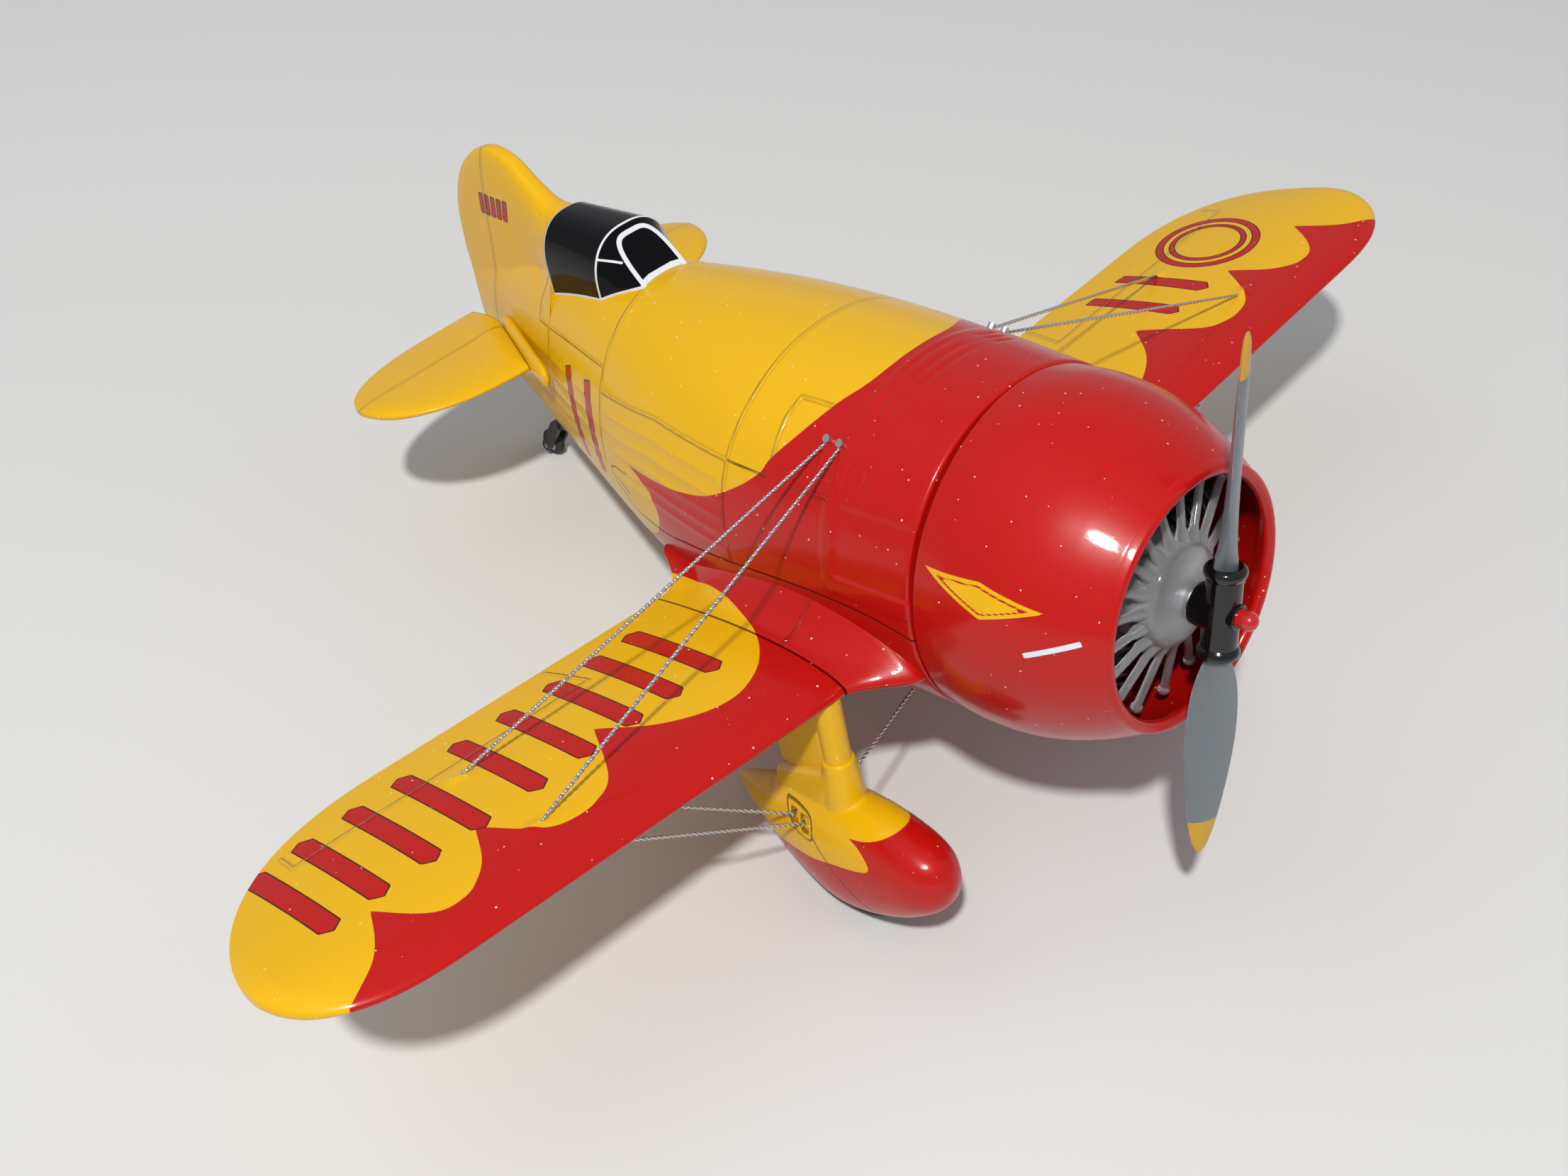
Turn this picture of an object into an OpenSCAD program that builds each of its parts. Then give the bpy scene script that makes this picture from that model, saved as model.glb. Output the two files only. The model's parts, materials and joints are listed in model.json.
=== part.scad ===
// Wire-braced racing monoplane, a die-cast display model to about 1/32.
// Every module draws in the airframe's own axes: X forward along the thrust line, Y to port, Z up,
// with X = 0 at the joint between the cowl and the fuselage. placed() then sets the model on its
// three wheels, tail down. A "station" is a distance behind the cowl joint.

/* [Propeller] */
// Radius of the propeller
prop_radius = 38.8; // [34:0.2:42]
// Angle of the blades from upright, leaning to port
prop_angle = 11.5; // [-45:0.5:45]
// Blade pitch at mid radius
blade_pitch = 28; // [20:1:50]
// Diameter of the propeller shaft
shaft_d = 2; // [1.6:0.1:2.4]

/* [Cowl] */
// Length of the cowl in front of the joint
cowl_length = 28.3; // [26:0.1:31]
// Radius of the opening in the cowl's nose
cowl_mouth = 17.4; // [15:0.1:19]
// Thickness of the cowl's wall
cowl_wall = 1.4; // [1:0.1:2]

/* [Wing] */
// Half of the wing span
half_span = 120; // [110:0.5:130]
// Distance of the wing joint from the centre line
wing_joint = 33.2; // [32:0.1:33.3]
// Chord at the wing joint
wing_chord = 40.3; // [38:0.1:43]
// Height of the chord line at the wing joint
wing_height = -9; // [-12:0.1:-6]
// Rise of the wing for each millimetre outwards
dihedral = 0.066; // [0:0.002:0.1]

/* [Tail] */
// Half of the stabiliser's span
stab_span = 39; // [34:0.5:44]
// Height of the stabiliser above the thrust line
stab_height = 8; // [6:0.1:10]

/* [Undercarriage] */
// Distance of each main wheel from the centre line
wheel_track = 35.4; // [35.4:0.1:38]
// Radius of the main tyres
tyre_r = 9.5; // [9:0.1:9.8]
// Width of the main tyres
tyre_w = 5.2; // [4:0.1:5.6]
// Radius of the tail wheel
tail_wheel_r = 2.6; // [2:0.1:3]

/* [Rigging] */
// Diameter of the bracing wires
wire_d = 0.6; // [0.4:0.1:0.8]

/* [Hidden] */
$fn = 48;

red = "#b3150f";
yellow = "#e0a90c";
silver = "#a9adb0";
black = "#0c0c0e";
steel = "#c9ccd0";

// Fits and gaps
run_fit = 0.05;      // radial clearance of a shaft that turns
seat_gap = 0.06;     // clearance of a piece that sits in a pocket
end_gap = 0.3;       // axial clearance beside a part that turns
shell = 1.7;         // wall of the fuselage castings

// Wheel centres, as station and height
main_wheel = [9.3, -41];
tail_wheel = [120, -21.2];
rise = main_wheel[1] - tail_wheel[1];
run = tail_wheel[0] - main_wheel[0];
// Nose-up angle at which the main wheels and the tail wheel touch the same floor
pitch = asin((tyre_r - tail_wheel_r) / norm([run, rise])) - atan2(rise, run);
floor_z = main_wheel[1] * cos(pitch) - main_wheel[0] * sin(pitch) - tyre_r;

// Places along the engine, forward of the joint
plate_front = 2.4;
bank_x = 16;
tube_x = 24.6;       // roots of the tubes on the crankcase
tube_sweep = 14;     // angle at which the tubes lean back to the cylinder heads
crank_nose = 27.6;
bush_front = 28.4;
hub_x = 32.2;
hub_back = bush_front + end_gap;
hub_half = 6.8;
barrel_r = 2.5;
shank_r = 1.7;
retainer_front = -2.6 - end_gap;

// Smooth curve through [position, value] pairs
function span_of(x, p, i = 0) = i >= len(p) - 2 || x <= p[i + 1][0] ? i : span_of(x, p, i + 1);
function tangent(p, i) =
    let (a = p[max(i - 1, 0)], b = p[min(i + 1, len(p) - 1)]) (b[1] - a[1]) / (b[0] - a[0]);
function curve(x, p) =
    let (
        i = span_of(x, p),
        h = p[i + 1][0] - p[i][0],
        u = min(max((x - p[i][0]) / h, 0), 1),
        m0 = tangent(p, i) * h,
        m1 = tangent(p, i + 1) * h
    )
    (2 * u ^ 3 - 3 * u ^ 2 + 1) * p[i][1] + (u ^ 3 - 2 * u ^ 2 + u) * m0
    + (3 * u ^ 2 - 2 * u ^ 3) * p[i + 1][1] + (u ^ 3 - u ^ 2) * m1;

// Fuselage outline against station
body_w = [[0, 25.4], [18, 26.4], [36, 26.4], [50, 25], [62, 22.6], [74, 19], [86, 15], [98, 11],
    [109, 7.2], [118, 4.2], [125, 2.2], [129.8, 0.8]];
body_top = [[0, 25.2], [18, 26.2], [36, 26.8], [50, 26.9], [62, 26.5], [74, 25.8], [86, 24.8], [98, 22.8],
    [109, 20], [118, 17], [129.8, 14]];
body_base = [[0, -25.4], [18, -27], [36, -27.4], [50, -26.4], [62, -24.2], [74, -21.4], [86, -18.2],
    [98, -14.8], [109, -11.4], [118, -8.4], [125, -5], [128.6, 0], [129.8, 6]];
// Top and half thickness of the fairing behind the canopy and of the fin
fin_top = [[95, 33], [99, 33.6], [103, 36.2], [107, 39.2], [111, 40.6], [115, 40.4], [119, 38.7],
    [123.5, 35.2], [127, 30.4], [129, 25.4], [129.8, 20]];
fin_half = [[95, 7], [99, 4.9], [103, 3.4], [108, 2.5], [114, 2.1], [120, 1.6], [126, 1], [129.8, 0.5]];
fin_power = [[95, 2.2], [103, 3], [110, 4.5], [129.8, 5]];
fin_root = 12;
body_power = 2.15;
// Height of the seam between the upper and the lower casting
seam = [[0, -2.4], [4, -1.4], [10, -0.4], [18, -0.1], [27, -0.6], [36, -1.6], [46, -3], [56, -4.6], [66, -4.8],
    [76, -3.6], [90, -1], [118, 2.4], [129.8, 3]];
stations = [0.5, 12, 24, 36, 46, 56, 66, 76, 86, 94.98, 95.02, 97, 99, 101, 103.5, 106, 108.5, 111.5, 115,
    118.5, 122, 125, 127.5, 129, 129.8];

function unit(v) = min(max(v, 0), 1);
function power(v, p) = sign(v) * abs(v) ^ p;
function bulge(r, p) = (1 - unit(r) ^ p) ^ (1 / p);
// Half width of the barrel, and of the fin, at a station and height
function barrel_half(s, z) =
    curve(s, body_w) * bulge(abs(z) / (z >= 0 ? curve(s, body_top) : -curve(s, body_base)), body_power);
function fin_width(s, z) =
    s < 95 ? 0 : curve(s, fin_half) * unit(max((s - 95) / 9, (z - fin_root + 2) / 12))
    * (z < fin_root ? 1 : bulge((z - fin_root) / (curve(s, fin_top) - fin_root), curve(s, fin_power)));
function skin(s, z) = (barrel_half(s, z) ^ 3 + fin_width(s, z) ^ 3) ^ (1 / 3);
function crown(s) = s < 95 ? curve(s, body_top) : max(curve(s, body_top), curve(s, fin_top));

// Solid through a list of rings with equal numbers of points
module loft(rings) {
    m = len(rings[0]);
    n = len(rings);
    sides = [
        for (i = [0:n - 2], j = [0:m - 1])
            let (a = i * m + j, b = i * m + (j + 1) % m)
            each [[a, a + m, b], [b, a + m, b + m]]
    ];
    first = [for (j = [0:m - 1]) j];
    last = [for (j = [m - 1:-1:0]) (n - 1) * m + j];
    polyhedron([for (r = rings) each r], concat([first], sides, [last]), convexity = 6);
}

// One mesh made of everything inside
module meshed() {
    resize([0, 0, 0]) children();
}

// Stands the airframe on its wheels
module placed() {
    translate([front_shift, 0, -floor_z]) rotate([0, -pitch, 0]) children();
}
// The foremost point is the lower blade's tip and the rearmost is on the rudder
tip_z = -prop_radius * cos(prop_angle);
front_end = hub_x * cos(pitch) - tip_z * sin(pitch) + 0.2;
rear_end = -max([for (p = fin_top) p[0] * cos(pitch) + p[1] * sin(pitch)]);
front_shift = -(front_end + rear_end) / 2;

// Cylinder along X from x0 to x1, and along Y
module rod_x(r, x0, x1, y = 0, z = 0) {
    translate([x0, y, z]) rotate([0, 90, 0]) cylinder(r = r, h = x1 - x0);
}
module rod_y(r, y0, y1, x = 0, z = 0) {
    translate([x, y0, z]) rotate([-90, 0, 0]) cylinder(r = r, h = y1 - y0);
}
// Wire between two points
module wire(a, b) {
    d = b - a;
    translate(a) rotate([0, 0, atan2(d[1], d[0])]) rotate([0, atan2(norm([d[0], d[1]]), d[2]), 0])
        cylinder(d = wire_d, h = norm(d), $fn = 16);
}

// ---- Fuselage ----
ring_steps = 13;
function upper_ring(s) =
    let (z0 = curve(s, seam), z1 = crown(s), n = ring_steps)
    [for (k = [-n:n])
        let (z = z0 + (z1 - z0) * cos(90 * k / n), y = abs(k) == 0 ? 0 : skin(s, z))
        [-s, (k < 0 ? -1 : 1) * y, z]];
function lower_ring(s) =
    let (z0 = curve(s, seam), z1 = curve(s, body_base), n = ring_steps - 4)
    [for (k = [-n:n])
        let (z = z0 + (z1 - z0) * cos(90 * k / n), y = abs(k) == 0 ? 0 : skin(s, z))
        [-s, (k < 0 ? 1 : -1) * y, z]];
module upper_solid() {
    loft([for (s = stations) upper_ring(s)]);
}
module lower_solid() {
    loft([for (s = stations) lower_ring(s)]);
}

// Space inside the castings
hollow = [-0.5, 14, 28, 42, 54, 66, 78, 90, 100];
module body_hollow() {
    loft([for (s = hollow)
        [for (k = [0:15])
            let (
                a = -22.5 * k - 11.25,
                t = max(s, 0),
                w = curve(t, body_w) - shell,
                h = sin(a) > 0 ? curve(t, body_top) - shell : -curve(t, body_base) - shell
            )
            [-s, w * power(cos(a), 2 / body_power), h * power(sin(a), 2 / body_power)]]]);
}

screw_spots = [16, 58, 92];
screw_r = 1;
head_r = 2;
boss_r = 2.8;
module screw_bosses() {
    for (s = screw_spots) translate([-s, 0, -40]) cylinder(r = boss_r, h = 90, $fn = 24);
}
module screw_holes() {
    for (s = screw_spots) {
        base = curve(s, body_base);
        translate([-s, 0, base - 5]) cylinder(r = head_r + seat_gap, h = 6.4, $fn = 24);
        translate([-s, 0, base - 5]) cylinder(r = screw_r + seat_gap, h = 5 - base + 6, $fn = 24);
    }
}
module body_screws() {
    color(steel) placed() for (s = screw_spots) {
        base = curve(s, body_base);
        difference() {
            union() {
                translate([-s, 0, base + 0.3]) cylinder(r = head_r, h = 1.1, $fn = 24);
                translate([-s, 0, base + 1.4]) cylinder(r = screw_r, h = 4 - base, $fn = 24);
            }
            translate([-s, 0, base + 0.3]) cube([3, 0.5, 1], center = true);
        }
    }
}

// Line along which each stabiliser meets its pad, as station and distance from the centre line
pad_line = [[88, 17.2], [98, 13.6], [117, 5.6], [134, 5.6]];
module inboard_of_pad(side, grow = 0) {
    translate([0, 0, -6]) linear_extrude(height = 30) polygon(concat(
        [for (p = pad_line) [-p[0], side * (p[1] + grow)]],
        [[-pad_line[3][0], -side * 2], [-pad_line[0][0], -side * 2]]));
}
module stab_pad(side) {
    intersection() {
        inboard_of_pad(side);
        hull() for (p = [[93, 12, 1.7], [98, 13.4, 2.8], [116, 5.2, 2.2]])
            translate([-p[0], side * (p[1] - 1), stab_height]) scale([1.4, 1, 1]) sphere(r = p[2], $fn = 20);
    }
}

module fuselage_upper() {
    color(yellow) placed() meshed() difference() {
        union() {
            difference() {
                upper_solid();
                body_hollow();
            }
            intersection() {
                upper_solid();
                screw_bosses();
            }
            for (side = [-1, 1]) stab_pad(side);
        }
        screw_holes();
        front_recess();
        canopy_pocket();
        for (side = [-1, 1], w = fuselage_eyes) eye_hole(w, side);
    }
}

// Round seat for the engine plate's spigot
module front_recess() {
    rod_x(23.56, -3.2, 1, 0, 0);
}

// Wing section: closed ring of [chord fraction aft, height fraction of the thickness]
foil_steps = 13;
function foil_half(u) = 5 * (0.2969 * sqrt(u) - 0.126 * u - 0.3516 * u ^ 2 + 0.2843 * u ^ 3 - 0.1036 * u ^ 4);
function foil_ring(chord, thick, edge, camber, lift = 0) = [
    for (k = [-foil_steps:foil_steps - 1])
        let (
            u = (1 - cos(180 * abs(k) / foil_steps)) / 2,
            h = foil_half(u) * thick + edge * u,
            mid = camber * 4 * u * (1 - u)
        )
        [u * chord, mid + (k < 0 ? -h : h + lift * sin(180 * min(u * 1.15, 1)))]
];
// A ring of points, in the order that suits the port or the starboard side
function facing(ring, side) = side < 0 ? ring : [for (i = [len(ring) - 1:-1:0]) ring[i]];
wing_nose = 7.4;     // station of the leading edge at the joint
function leading(y) =
    wing_nose + 0.02 * (y - wing_joint)
    + 14.6 * (1 - (1 - unit((y - 95) / (half_span - 95)) ^ 3) ^ (1 / 2));
function trailing(y) =
    wing_nose + wing_chord
    - 24.6 * (1 - (1 - unit((y - 85) / (half_span - 85)) ^ 2.4) ^ (1 / 1.9));
function wing_z(y) = wing_height + dihedral * (y - wing_joint);
function wing_thick(y) = 4.9 - 0.018 * (y - wing_joint);
wing_stops = [0, 14, 28, 42, 52, 58, 63, 67.5, 71.5, 75, 78, 80.7, 83, 84.9, 86.1, 86.7];

module wing_solid(side) {
    loft([for (d = wing_stops)
        let (
            y = wing_joint + d,
            chord = trailing(y) - leading(y),
            thick = min(wing_thick(y), chord * 0.16 + 0.5),
            ring = foil_ring(chord, thick, 0.3, 0.6 * chord / wing_chord)
        )
        [for (q = facing(ring, side))
            [-leading(y) - q[0], side * y, wing_z(y) + q[1]]]]);
}

// Stub that carries each wing, thicker towards the body where its fillet rises to the seam
// as [distance out, rise of its upper side, station of its front, station of its rear]
stub_stops = [[16, 8, 0.7, 62], [23, 7.6, 0.7, 58], [25.2, 6.6, 1, 54.5], [27, 4, 2.4, 51.5],
    [29, 1.7, 4.4, 49.3], [31, 0.5, 6.1, 48.1], [wing_joint, 0, wing_nose, wing_nose + wing_chord]];
module wing_stub(side) {
    loft([for (p = stub_stops)
        let (
            y = p[0],
            ring = foil_ring(p[3] - p[2], wing_thick(wing_joint), 0.3, 0.6, p[1])
        )
        [for (q = facing(ring, side))
            [-p[2] - q[0], side * y, wing_z(y) + q[1] - (q[1] < 0 ? p[1] * 0.12 : 0)]]]);
}

tongue = [14, 9, 2.2];      // length along the chord, depth into the stub, thickness
tongue_s = 22;
module wing_tongue(side, grow = 0) {
    translate([-tongue_s, side * (wing_joint - tongue[1] / 2 + (grow > 0 ? 0 : 0.05)), wing_z(wing_joint) + 0.5])
        cube([tongue[0] + 2 * grow, tongue[1] + 2 * grow, tongue[2] + 2 * grow], center = true);
}
wing_screw_s = [18, 26];
wing_screw_y = wing_joint - 4.5;
module wing_screw_holes(side) {
    for (s = wing_screw_s) {
        translate([-s, side * wing_screw_y, -30]) cylinder(r = 0.7 + seat_gap, h = 22.6, $fn = 20);
        translate([-s, side * wing_screw_y, -30]) cylinder(r = 1.4 + seat_gap, h = 19.9, $fn = 20);
    }
}
module wing_screws() {
    color(steel) placed() for (side = [-1, 1], s = wing_screw_s) difference() {
        union() {
            translate([-s, side * wing_screw_y, -11]) cylinder(r = 1.4, h = 0.9, $fn = 20);
            translate([-s, side * wing_screw_y, -10.5]) cylinder(r = 0.7, h = 3, $fn = 20);
        }
        translate([-s, side * wing_screw_y, -11]) cube([2.2, 0.4, 0.8], center = true);
    }
}

module fuselage_lower() {
    color(red) placed() meshed() difference() {
        union() {
            difference() {
                union() {
                    lower_solid();
                    for (side = [-1, 1]) below_seam() wing_stub(side);
                }
                body_hollow();
            }
            intersection() {
                lower_solid();
                screw_bosses();
            }
        }
        screw_holes();
        front_recess();
        for (side = [-1, 1]) {
            wing_tongue(side, seat_gap);
            wing_screw_holes(side);
            wire_hole(inner_wire(side)[1], side);
        }
        tail_socket();
    }
}
module below_seam() {
    intersection() {
        children();
        rotate([90, 0, 0]) linear_extrude(height = 120, center = true) polygon(concat(
            [for (s = stations) if (s < 80) [-s, curve(s, seam) - 0.04]], [[-76, -60], [-0.5, -60]]));
    }
}

// ---- Canopy ----
// Frames of the canopy as station, half width at the base and crown height
glass_front = 71.6;
glass_foot = 4.2;
hoop = [80, 8.1, 33.2];
tail_arch = [95, 6.9, 33];
pocket_floor = 22.6;
arch_foot = 25;
function arch(s, half, top, n = 14) = [for (k = [0:n]) let (a = 180 * k / n)
    [-s, half * power(cos(a), 0.8), arch_foot + (top - arch_foot) * power(sin(a), 0.92)]];
module canopy_plan(grow = 0) {
    polygon([
        [-glass_front + grow, glass_foot + grow], [-hoop[0], hoop[1] + grow], [-tail_arch[0] - grow / 8, tail_arch[1] + grow],
        [-tail_arch[0] - grow / 8, -tail_arch[1] - grow], [-hoop[0], -hoop[1] - grow], [-glass_front + grow, -glass_foot - grow]
    ]);
}
module canopy_pocket() {
    translate([0, 0, pocket_floor]) linear_extrude(height = 14) canopy_plan(seat_gap);
}
module canopy() {
    color(black) placed() meshed() intersection() {
        translate([0, 0, pocket_floor + 0.02]) linear_extrude(height = 14) canopy_plan();
        hull() {
            for (f = [hoop, tail_arch]) {
                translate([-f[0], 0, 0]) rotate([90, 0, 90]) linear_extrude(height = 0.2)
                    polygon(concat([[f[1], 15], [-f[1], 15]],
                        [for (p = arch(0, f[1], f[2])) [-p[1], p[2]]]));
            }
            // The flat front pane, from the foot up to the hoop
            translate([-glass_front - 0.3, -glass_foot - 0.3, 15]) cube([0.45, 2 * glass_foot + 0.6, 10.6]);
            translate([-hoop[0] + 1.2, -2.6, 31.8]) cube([0.3, 5.2, 0.8]);
        }
    }
}

// ---- Cowl and engine ----
cowl_line = [[0.5, 25.8], [6, 26.2], [12, 25.7], [17, 24.4], [21.5, 22.5], [25, 20.6], [27.3, 19.2]];
module cowl() {
    // Outside curve, rolled lip, then the inside back to the joint
    lip_r = 1;
    lip = [cowl_length - lip_r, cowl_mouth + lip_r];
    outside = [for (x = [0.5:1.5:26.5]) [curve(x, cowl_line), x]];
    roll = [for (a = [40:-20:-100]) [lip[1] + lip_r * sin(a), lip[0] + lip_r * cos(a)]];
    inside = [for (x = [25.5:-1.5:3]) [curve(x, cowl_line) - cowl_wall, x - 0.2]];
    color(red) placed() rotate([0, 90, 0]) rotate_extrude($fn = 96)
        polygon(concat(outside, roll, inside, [[24.45, plate_front], [24.45, 0.5]]));
}

module engine_plate() {
    color(black) placed() difference() {
        union() {
            rod_x(24.4, -0.5, plate_front);
            rod_x(23.5, -2.6, -0.5);
            rod_x(6, plate_front, bank_x - 5);
        }
        rod_x(shaft_d / 2 + run_fit, -5, bank_x);
    }
}

cylinder_count = 9;
// Finned barrel, standing on the crankcase, as [radius, height] steps
module finned_cylinder() {
    fins = 6;
    fin_gap = 1.35;
    fin_root = 9.9;
    head = fin_root + fins * fin_gap;
    rotate_extrude($fn = 16) polygon(concat(
        [[0, 7.4], [2.3, 7.4]],
        [for (i = [0:fins - 1]) let (z = fin_root + i * fin_gap)
            each [[2.3, z], [3.2, z + 0.15], [3.2, z + 0.6], [2.3, z + 0.75]]],
        [[2.3, head], [2.8, head + 0.2], [2.2, 20.4], [0, 20.8]]));
}
module cylinder_bank() {
    color(black) placed() difference() {
        union() {
            for (i = [0:cylinder_count - 1])
                translate([bank_x, 0, 0]) rotate([i * 360 / cylinder_count, 0, 0]) finned_cylinder();
            rod_x(8.4, bank_x - 5, bank_x + 2.5);
        }
        rod_x(shaft_d / 2 + run_fit, 0, 30);
    }
}

tube_count = 18;
tube_r = 0.75;
boss_ring = 7;
tube_len = 11.6;
function tube_angle(i) = i * 360 / tube_count;
// Places a tube or its boss on the crankcase, leaning back
module at_tube(i) {
    translate([tube_x, 0, 0]) rotate([tube_angle(i), 0, 0]) translate([0, 0, boss_ring])
        rotate([0, -tube_sweep, 0]) children();
}
module crankcase() {
    color(silver) placed() difference() {
        union() {
            rotate([0, 90, 0]) rotate_extrude() polygon([
                [0, bank_x + 2.5], [7.2, bank_x + 2.5], [7.6, bank_x + 3.5], [7.6, tube_x + 1],
                [7.1, tube_x + 1.9], [6, tube_x + 2.5], [4.6, tube_x + 2.9], [3.4, crank_nose - 0.4],
                [3.4, crank_nose], [0, crank_nose]
            ]);
            for (i = [0:tube_count - 1])
                at_tube(i) translate([0, 0, -0.6]) cylinder(r1 = 1.4, r2 = 1.05, h = 2.6, $fn = 24);
        }
        rod_x(1.9, bank_x, 40);
    }
}
module pushrod_tubes() {
    color(silver) placed() for (i = [0:tube_count - 1]) at_tube(i) {
        translate([0, 0, 2]) cylinder(r = tube_r, h = tube_len - 2, $fn = 20);
        translate([0, 0, tube_len]) sphere(r = 1, $fn = 20);
    }
}

module prop_bush() {
    color(steel) placed() difference() {
        union() {
            rod_x(1.9, bank_x + 2.5, crank_nose);
            rod_x(2.6, crank_nose, bush_front);
        }
        rod_x(shaft_d / 2 + run_fit, bank_x, 40);
    }
}

// ---- Propeller ----
module prop_shaft() {
    color(steel) placed() rod_x(shaft_d / 2, retainer_front - 1.8, hub_x);
}
module shaft_retainer() {
    color(steel) placed() difference() {
        rod_x(2.2, retainer_front - 1.4, retainer_front);
        rod_x(shaft_d / 2, -10, 0);
    }
}
// Turns the propeller's own upright blade axis to its rest angle
module turned() {
    rotate([-prop_angle, 0, 0]) children();
}
module prop_hub() {
    collar = [[0, hub_half], [2.2, hub_half], [2.75, hub_half - 0.3], [2.9, hub_half - 0.9],
        [2.75, hub_half - 1.5], [barrel_r, hub_half - 1.8], [barrel_r, 0], [0, 0]];
    color(black) placed() turned() difference() {
        union() {
            translate([hub_x, 0, 0]) for (up = [0, 180]) rotate([up, 0, 0]) rotate_extrude() polygon(collar);
            rod_x(3.1, hub_back, hub_x);
            rod_x(1.8, hub_x, hub_x + barrel_r + 0.3);
        }
        rod_x(shaft_d / 2, 0, hub_x);
        translate([hub_x, 0, 0]) for (up = [0, 180]) rotate([up, 0, 0])
            translate([0, 0, hub_half - 3]) cylinder(r = shank_r, h = 6);
    }
}

blade_stops = [[0.14, 1.6, 1.6], [0.178, 1.68, 1.6], [0.25, 2.7, 1.25], [0.33, 3.4, 1.05], [0.45, 3.8, 0.9],
    [0.57, 3.75, 0.8], [0.69, 3.35, 0.74], [0.79, 2.85, 0.68], [0.87, 2.3, 0.62], [0.93, 1.75, 0.56],
    [0.975, 1.1, 0.45], [1, 0.45, 0.2]];
// Blade section at one radius: an ellipse turned to the local pitch, wider towards its middle
module blade_solid() {
    loft([for (p = blade_stops)
        let (r = p[0] * prop_radius, beta = blade_pitch + 16 * (0.6 - p[0]))
        [for (k = [0:15])
            let (a = 22.5 * k, c = p[1] * cos(a), t = -p[2] * sin(a))
            [t * cos(beta) - c * sin(beta), c * cos(beta) + t * sin(beta), r]]]);
}
module shank() {
    translate([0, 0, hub_half - 3]) cylinder(r = shank_r, h = 3.2);
}
module blade() {
    union() {
        shank();
        blade_solid();
    }
}
module prop_blade_upper() {
    color(silver) placed() turned() translate([hub_x, 0, 0]) blade();
}
module prop_blade_lower() {
    color(silver) placed() turned() translate([hub_x, 0, 0]) rotate([180, 0, 0]) blade();
}
module nose_cap() {
    cap_r = 1.35;
    start = hub_x + barrel_r + 0.3;
    color(red) placed() union() {
        rod_x(cap_r, start, start + cap_r);
        translate([start + cap_r, 0, 0]) sphere(r = cap_r);
    }
}

// ---- Wings ----
module wing(side) {
    meshed() difference() {
        union() {
            wing_solid(side);
            wing_tongue(side);
        }
        wing_screw_holes(side);
        for (w = wing_anchors) anchor_hole(w, side);
    }
}
module right_wing() {
    color(red) placed() wing(-1);
}
module left_wing() {
    color(red) placed() wing(1);
}

// ---- Stabilisers ----
function stab_lead(y) = 98.2 + 16 * (1 - (1 - unit((y - 8) / (stab_span - 8)) ^ 3) ^ (1 / 2));
function stab_trail(y) = 126 - 0.04 * y - 11 * (1 - (1 - unit((y - 12) / (stab_span - 12)) ^ 3) ^ (1 / 2));
stab_stops = [6, 10, 14, 19, 24, 28, 31, 33.5, 35.5, 37, 38.1, 38.7, 38.98];
module stabiliser(side) {
    meshed() difference() {
        loft([for (y = stab_stops)
            let (
                chord = stab_trail(y) - stab_lead(y),
                ring = foil_ring(chord, min(3.4 - 0.035 * y, chord * 0.12 + 0.5), 0.35, 0)
            )
            [for (q = facing(ring, side))
                [-stab_lead(y) - q[0], side * y, stab_height + q[1]]]]);
        inboard_of_pad(side);
    }
}
module right_stabiliser() {
    color(yellow) placed() stabiliser(-1);
}
module left_stabiliser() {
    color(yellow) placed() stabiliser(1);
}

// ---- Undercarriage ----
spat_top = [[-10.5, -34.8], [-9.4, -32], [-6.7, -30], [-1.7, -28.4], [5.3, -27.5], [13.3, -28.2],
    [21.3, -30.6], [28.3, -33.3], [33.9, -35.4]];
spat_base = [[-10.5, -36], [-9.4, -39], [-6.7, -41.6], [-1.7, -44.9], [5.3, -47.9], [11.3, -48.6],
    [17.3, -46.3], [23.3, -42.8], [29.3, -39.1], [33.9, -36.9]];
spat_half = [[-10.5, 0.6], [-9.4, 2.8], [-6.7, 4.7], [-1.7, 5.8], [5.3, 6.3], [12.3, 6.2], [19.3, 5.2],
    [26.3, 3.5], [31.3, 1.8], [33.9, 0.7]];
spat_stops = [-10.5, -10.2, -9.4, -8, -5.5, -1.7, 2.3, 6.3, 10.3, 14.3, 18.3, 22.3, 26.3, 29.8, 32.5, 33.9];
boot_top = -20.3;
leg_s = 9.4;
leg_r = 2.1;
well_r = tyre_r + 0.8;
well_half = tyre_w / 2 + 0.7;
axle_r = 0.8;
// Line on the spat's side behind which its rear piece lies, as [station, height] points
split = [[-5.2, -50.5], [14.1, -30.5], [18.7, -30.5], [21.1, -27.8]];

function oval(s, y, half, top, base, p, n = 20) = [for (k = [0:n - 1])
    let (a = -360 * k / n, c = cos(a), d = sin(a))
    [-s, y + half * power(c, 2 / p),
        (top + base) / 2 + (top - base) / 2 * power(d, 2 / p)]];
module spat_body(side) {
    union() {
        loft([for (s = spat_stops)
            oval(s, side * wheel_track, curve(s, spat_half), curve(s, spat_top), curve(s, spat_base), 2.3)]);
        pylon(side);
    }
}
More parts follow.
